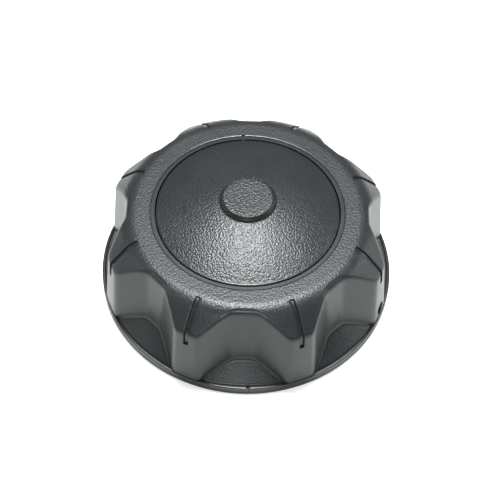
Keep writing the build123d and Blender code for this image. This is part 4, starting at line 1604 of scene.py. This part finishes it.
@dataclass(frozen=True)
class DrawnSteel:
    """Drawn or plated steel: fine lines along one axis over a broad change of shine."""

    name: str
    colour: Colour
    dull: Colour
    rough: float
    stretch: tuple[float, float, float] = (1.0, 1.0, 8.0)
    line_waves: float = 1500.0
    broad_waves: float = 160.0
    line_depth: float = 0.006

    def build(self) -> bpy.types.Material:
        """Builds the material: a cloud stretched along one axis gives the lines.

        Returns:
            The material.
        """
        graph = Graph.material(self.name)
        place = graph.place()
        drawn = graph.node("ShaderNodeMapping", None, {"Vector": place, "Scale": self.stretch})
        lines = graph.noise(self.line_waves, 3.0, 0.6, drawn.outputs[0])
        broad = graph.noise(self.broad_waves, 3.0, 0.5, place)
        colour = graph.mix(broad.smooth(0.35, 0.7), self.colour, self.dull)
        rough = self.rough + lines * 0.15 + broad * 0.08
        inputs = {"Base Color": colour, "Metallic": 1.0, "Roughness": rough}
        return graph.finish(inputs, lines, self.line_depth * MM)


@dataclass(frozen=True)
class OpenFoam:
    """Open-cell filter foam: pale struts, with the pores between them darkened as painted shade."""

    name: str
    colour: Colour
    strut: Colour
    cell: float = 0.7
    strut_edge: tuple[float, float] = (0.03, 0.22)
    pore_depth: float = 0.25

    def build(self) -> bpy.types.Material:
        """Builds the material: the struts are where two cells' edges are near, and the rest is darkened as
        painted shade in the pores.

        Returns:
            The material.
        """
        graph = Graph.material(self.name)
        place = graph.place()
        edge = graph.level(
            "ShaderNodeTexVoronoi", "Distance", {"feature": "DISTANCE_TO_EDGE"},
            {"Vector": place, "Scale": 1 / (self.cell * MM)},
        )
        strut = 1.0 - edge.smooth(*self.strut_edge)
        # Away from the struts the colour is painted shade in the pores
        colour = graph.mix(strut, self.colour, self.strut)
        inputs = {"Base Color": colour, "Roughness": 0.9, "Specular IOR Level": 0.2}
        return graph.finish(inputs, strut, self.pore_depth * MM)


FINISHES = (
    GrainedPlastic("grip_plastic"),
    GrainedPlastic("disc_plastic", grain_depth=0.085, grained_rough=0.32),
    MouldedPlastic("closure_plastic", (0.03, 0.031, 0.033), (0.05, 0.051, 0.053), 0.36),
    MouldedPlastic("acetal", (0.72, 0.71, 0.66), (0.8, 0.79, 0.75), 0.3),
    Rubber("neck_rubber", (0.02, 0.02, 0.021), (0.06, 0.06, 0.062)),
    MouldedPlastic("valve_plastic", (0.085, 0.095, 0.105), (0.13, 0.14, 0.15), 0.38),
    Rubber("seal_rubber", (0.09, 0.03, 0.018), (0.16, 0.08, 0.06)),
    DrawnSteel("plated_steel", (0.62, 0.62, 0.6), (0.5, 0.5, 0.48), 0.28),
    MouldedPlastic("poppet_plastic", (0.7, 0.7, 0.66), (0.78, 0.78, 0.74), 0.32),
    DrawnSteel("spring_steel", (0.55, 0.55, 0.56), (0.42, 0.42, 0.43), 0.24, (1.0, 1.0, 1.0)),
    # The first colour is painted shade in the pores, the second the struts
    OpenFoam("filter_foam", (0.02, 0.02, 0.022), (0.1, 0.1, 0.105)),
)


@dataclass
class Studio:
    """Floor, lamps, world and camera, in metres. camera_turn is the camera's turn about the cap's axis."""

    floor_half: float = 3.0
    camera_turn: float = np.radians(0.578)
    camera_place: tuple[float, float, float] = (-0.00225, -0.23360, 0.33124)
    camera_tilt: float = np.radians(53.496)
    camera_yaw: float = np.radians(-0.035)
    camera_roll: float = np.radians(1.224)
    focal_pixels: float = 1281.3
    image_pixels: float = 480.0
    sensor: float = 36.0
    sky_axis: tuple[float, float, float] = (0.0, 0.35, 0.94)
    sky_span: tuple[float, float] = (-0.1, 0.7)
    sky_low: float = 0.016
    sky_high: float = 0.32
    floor_lift: float = 0.4
    lift_start: tuple[float, float] = (0.0440, 0.0450)
    lift_far: tuple[float, float] = (0.25, 0.60)
    lamp_colour: Colour = (0.97, 1.0, 1.0)
    lamp_target: tuple[float, ...] = (0.0, 0.0, 0.015)
    clip_start: float = 0.005

    def build(self) -> None:
        """Builds the whole set."""
        self.floor()
        self.world()
        self.lamps()
        self.camera()
        bpy.context.scene.view_settings.view_transform = "Standard"

    def floor(self) -> None:
        """A plain pale sheet under the cap.

        To the camera it is lifted to white, but not inside the cap, where the air outlet shows it.
        """
        half = self.floor_half
        corners = [(-half, -half, 0.0), (half, -half, 0.0), (half, half, 0.0), (-half, half, 0.0)]
        mesh = bpy.data.meshes.new("studio_floor")
        mesh.from_pydata(corners, [], [(0, 1, 2, 3)])
        sheet = bpy.data.objects.new("studio_floor", mesh)
        bpy.context.scene.collection.objects.link(sheet)
        graph = Graph.material("studio_floor")
        shade = graph.noise(6.0, 2.0).smooth(0.3, 0.7)
        colour = graph.mix(shade, (0.80, 0.80, 0.80), (0.82, 0.82, 0.82))
        away = graph.level("ShaderNodeVectorMath", "Value", {"operation": "LENGTH"}, {0: graph.place()})
        near = away.smooth(*self.lift_start) * self.floor_lift
        lift = near + away.smooth(*self.lift_far) * (1.0 - self.floor_lift)
        lift = graph.level("ShaderNodeLightPath", "Is Camera Ray") * lift
        white = graph.mix(lift, (0.0, 0.0, 0.0), (1.0, 1.0, 1.0))
        inputs = {"Base Color": colour, "Roughness": 0.9, "Specular IOR Level": 0.1}
        inputs |= {"Emission Color": white, "Emission Strength": 1.0}
        sheet.data.materials.append(graph.finish(inputs))

    def world(self) -> None:
        """White to the camera. As a light it is a soft grey overhead and behind, and dark low in front."""
        world = bpy.data.worlds.new("studio")
        bpy.context.scene.world = world
        graph = Graph(world)
        way = graph.node("ShaderNodeTexCoord").outputs["Generated"]
        along = {0: way, 1: self.sky_axis}
        height = graph.level("ShaderNodeVectorMath", "Value", {"operation": "DOT_PRODUCT"}, along)
        light = self.sky_low + height.smooth(*self.sky_span) * (self.sky_high - self.sky_low)
        seen = graph.level("ShaderNodeLightPath", "Is Camera Ray")
        strength = light + seen * (1.0 - light)
        inputs = {"Color": (1.0, 1.0, 1.0, 1.0), "Strength": strength}
        back = graph.node("ShaderNodeBackground", None, inputs)
        graph.node("ShaderNodeOutputWorld", None, {"Surface": back.outputs[0]})

    def lamps(self) -> None:
        """Soft lamps: one overhead and a little behind, and weak ones in front and at each side."""
        self._lamp("overhead", (0.0, 0.14, 0.70), (0.17, 0.17), 10.2)
        self._lamp("front_low", (-0.05, -0.66, 0.46), (0.30, 0.12), 2.0)
        self._lamp("right_side", (0.9, 0.1, 0.35), (0.5, 0.4), 3.0)
        self._lamp("left_side", (-0.9, -0.1, 0.45), (0.5, 0.4), 1.5)

    def _lamp(self, name: str, place: tuple[float, ...], size: tuple[float, float], power: float) -> None:
        """Adds an area lamp that faces the cap.

        Args:
            name: Name of the lamp.
            place: Where it stands, in metres.
            size: Its width and height, in metres.
            power: Its power, in watts.
        """
        data = bpy.data.lights.new(name, "AREA")
        data.shape = "RECTANGLE"
        data.size, data.size_y = size
        data.energy = power
        data.color = self.lamp_colour
        lamp = bpy.data.objects.new(name, data)
        bpy.context.scene.collection.objects.link(lamp)
        aim = Vector(self.lamp_target) - Vector(place)
        turn = aim.to_track_quat("-Z", "Y").to_matrix().to_4x4()
        lamp.matrix_world = Matrix.Translation(Vector(place)) @ turn

    def camera(self) -> None:
        """The camera of the photograph: its place and tilt, turned about the cap's axis."""
        data = bpy.data.cameras.new("photo_camera")
        data.sensor_width = self.sensor
        data.lens = self.focal_pixels / self.image_pixels * self.sensor
        data.clip_start = self.clip_start
        camera = bpy.data.objects.new("photo_camera", data)
        bpy.context.scene.collection.objects.link(camera)
        tilt = Matrix.Rotation(np.pi / 2 - self.camera_tilt, 4, "X")
        yaw, roll, turn = (
            Matrix.Rotation(angle, 4, "Z") for angle in (self.camera_yaw, self.camera_roll, self.camera_turn)
        )
        place = Matrix.Translation(Vector(self.camera_place))
        camera.matrix_world = turn @ place @ (yaw @ tilt @ roll)
        bpy.context.scene.camera = camera


def dress(pieces: list[tuple[bpy.types.Object, str]]) -> None:
    """Gives every CAD node and every piece the finish of its slot.

    Args:
        pieces: Each piece with the name of its slot.
    """
    slots = {part["node"]: part["material_slot"] for part in frame["record"]["subparts"]}
    made = {finish.name: finish.build() for finish in FINISHES}
    for name, node in frame["nodes"].items():
        node.data.materials.clear()
        node.data.materials.append(made[slots[name]])
        log.info("%s: finish %s", name, slots[name])
    for piece, slot in pieces:
        piece.data.materials.append(made[slot])


def main() -> None:
    """Builds the pieces, their finishes and the set."""
    logging.basicConfig(level=logging.INFO, format="%(name)s: %(message)s")
    _, grip_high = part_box("grip_cover")
    _, disc_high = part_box("cover_disc")
    grip = GripCover(flange_radius=grip_high.x / MM, ring_height=grip_high.z / MM)
    disc = CoverDisc(disc_radius=grip.well_radius - DISC_GAP, top_height=disc_high.z / MM)
    pressure_coil = CoilSpring(
        "pressure_spring", "pressure_coil", Body.CLOSURE, "pressure_lift",
        wire=0.7, turns=3.0, travel=1.5, grows_up=True,
    )
    vacuum_coil = CoilSpring(
        "vacuum_spring", "vacuum_coil", Body.PRESSURE_VALVE, "vacuum_drop",
        wire=0.4, turns=4.0, travel=1.0, grows_up=False,
    )
    dress([
        (grip.build(), "grip_plastic"),
        (disc.build(), "disc_plastic"),
        (pressure_coil.build(), "spring_steel"),
        (vacuum_coil.build(), "spring_steel"),
    ])
    Studio().build()


if __name__ == "__main__":
    main()
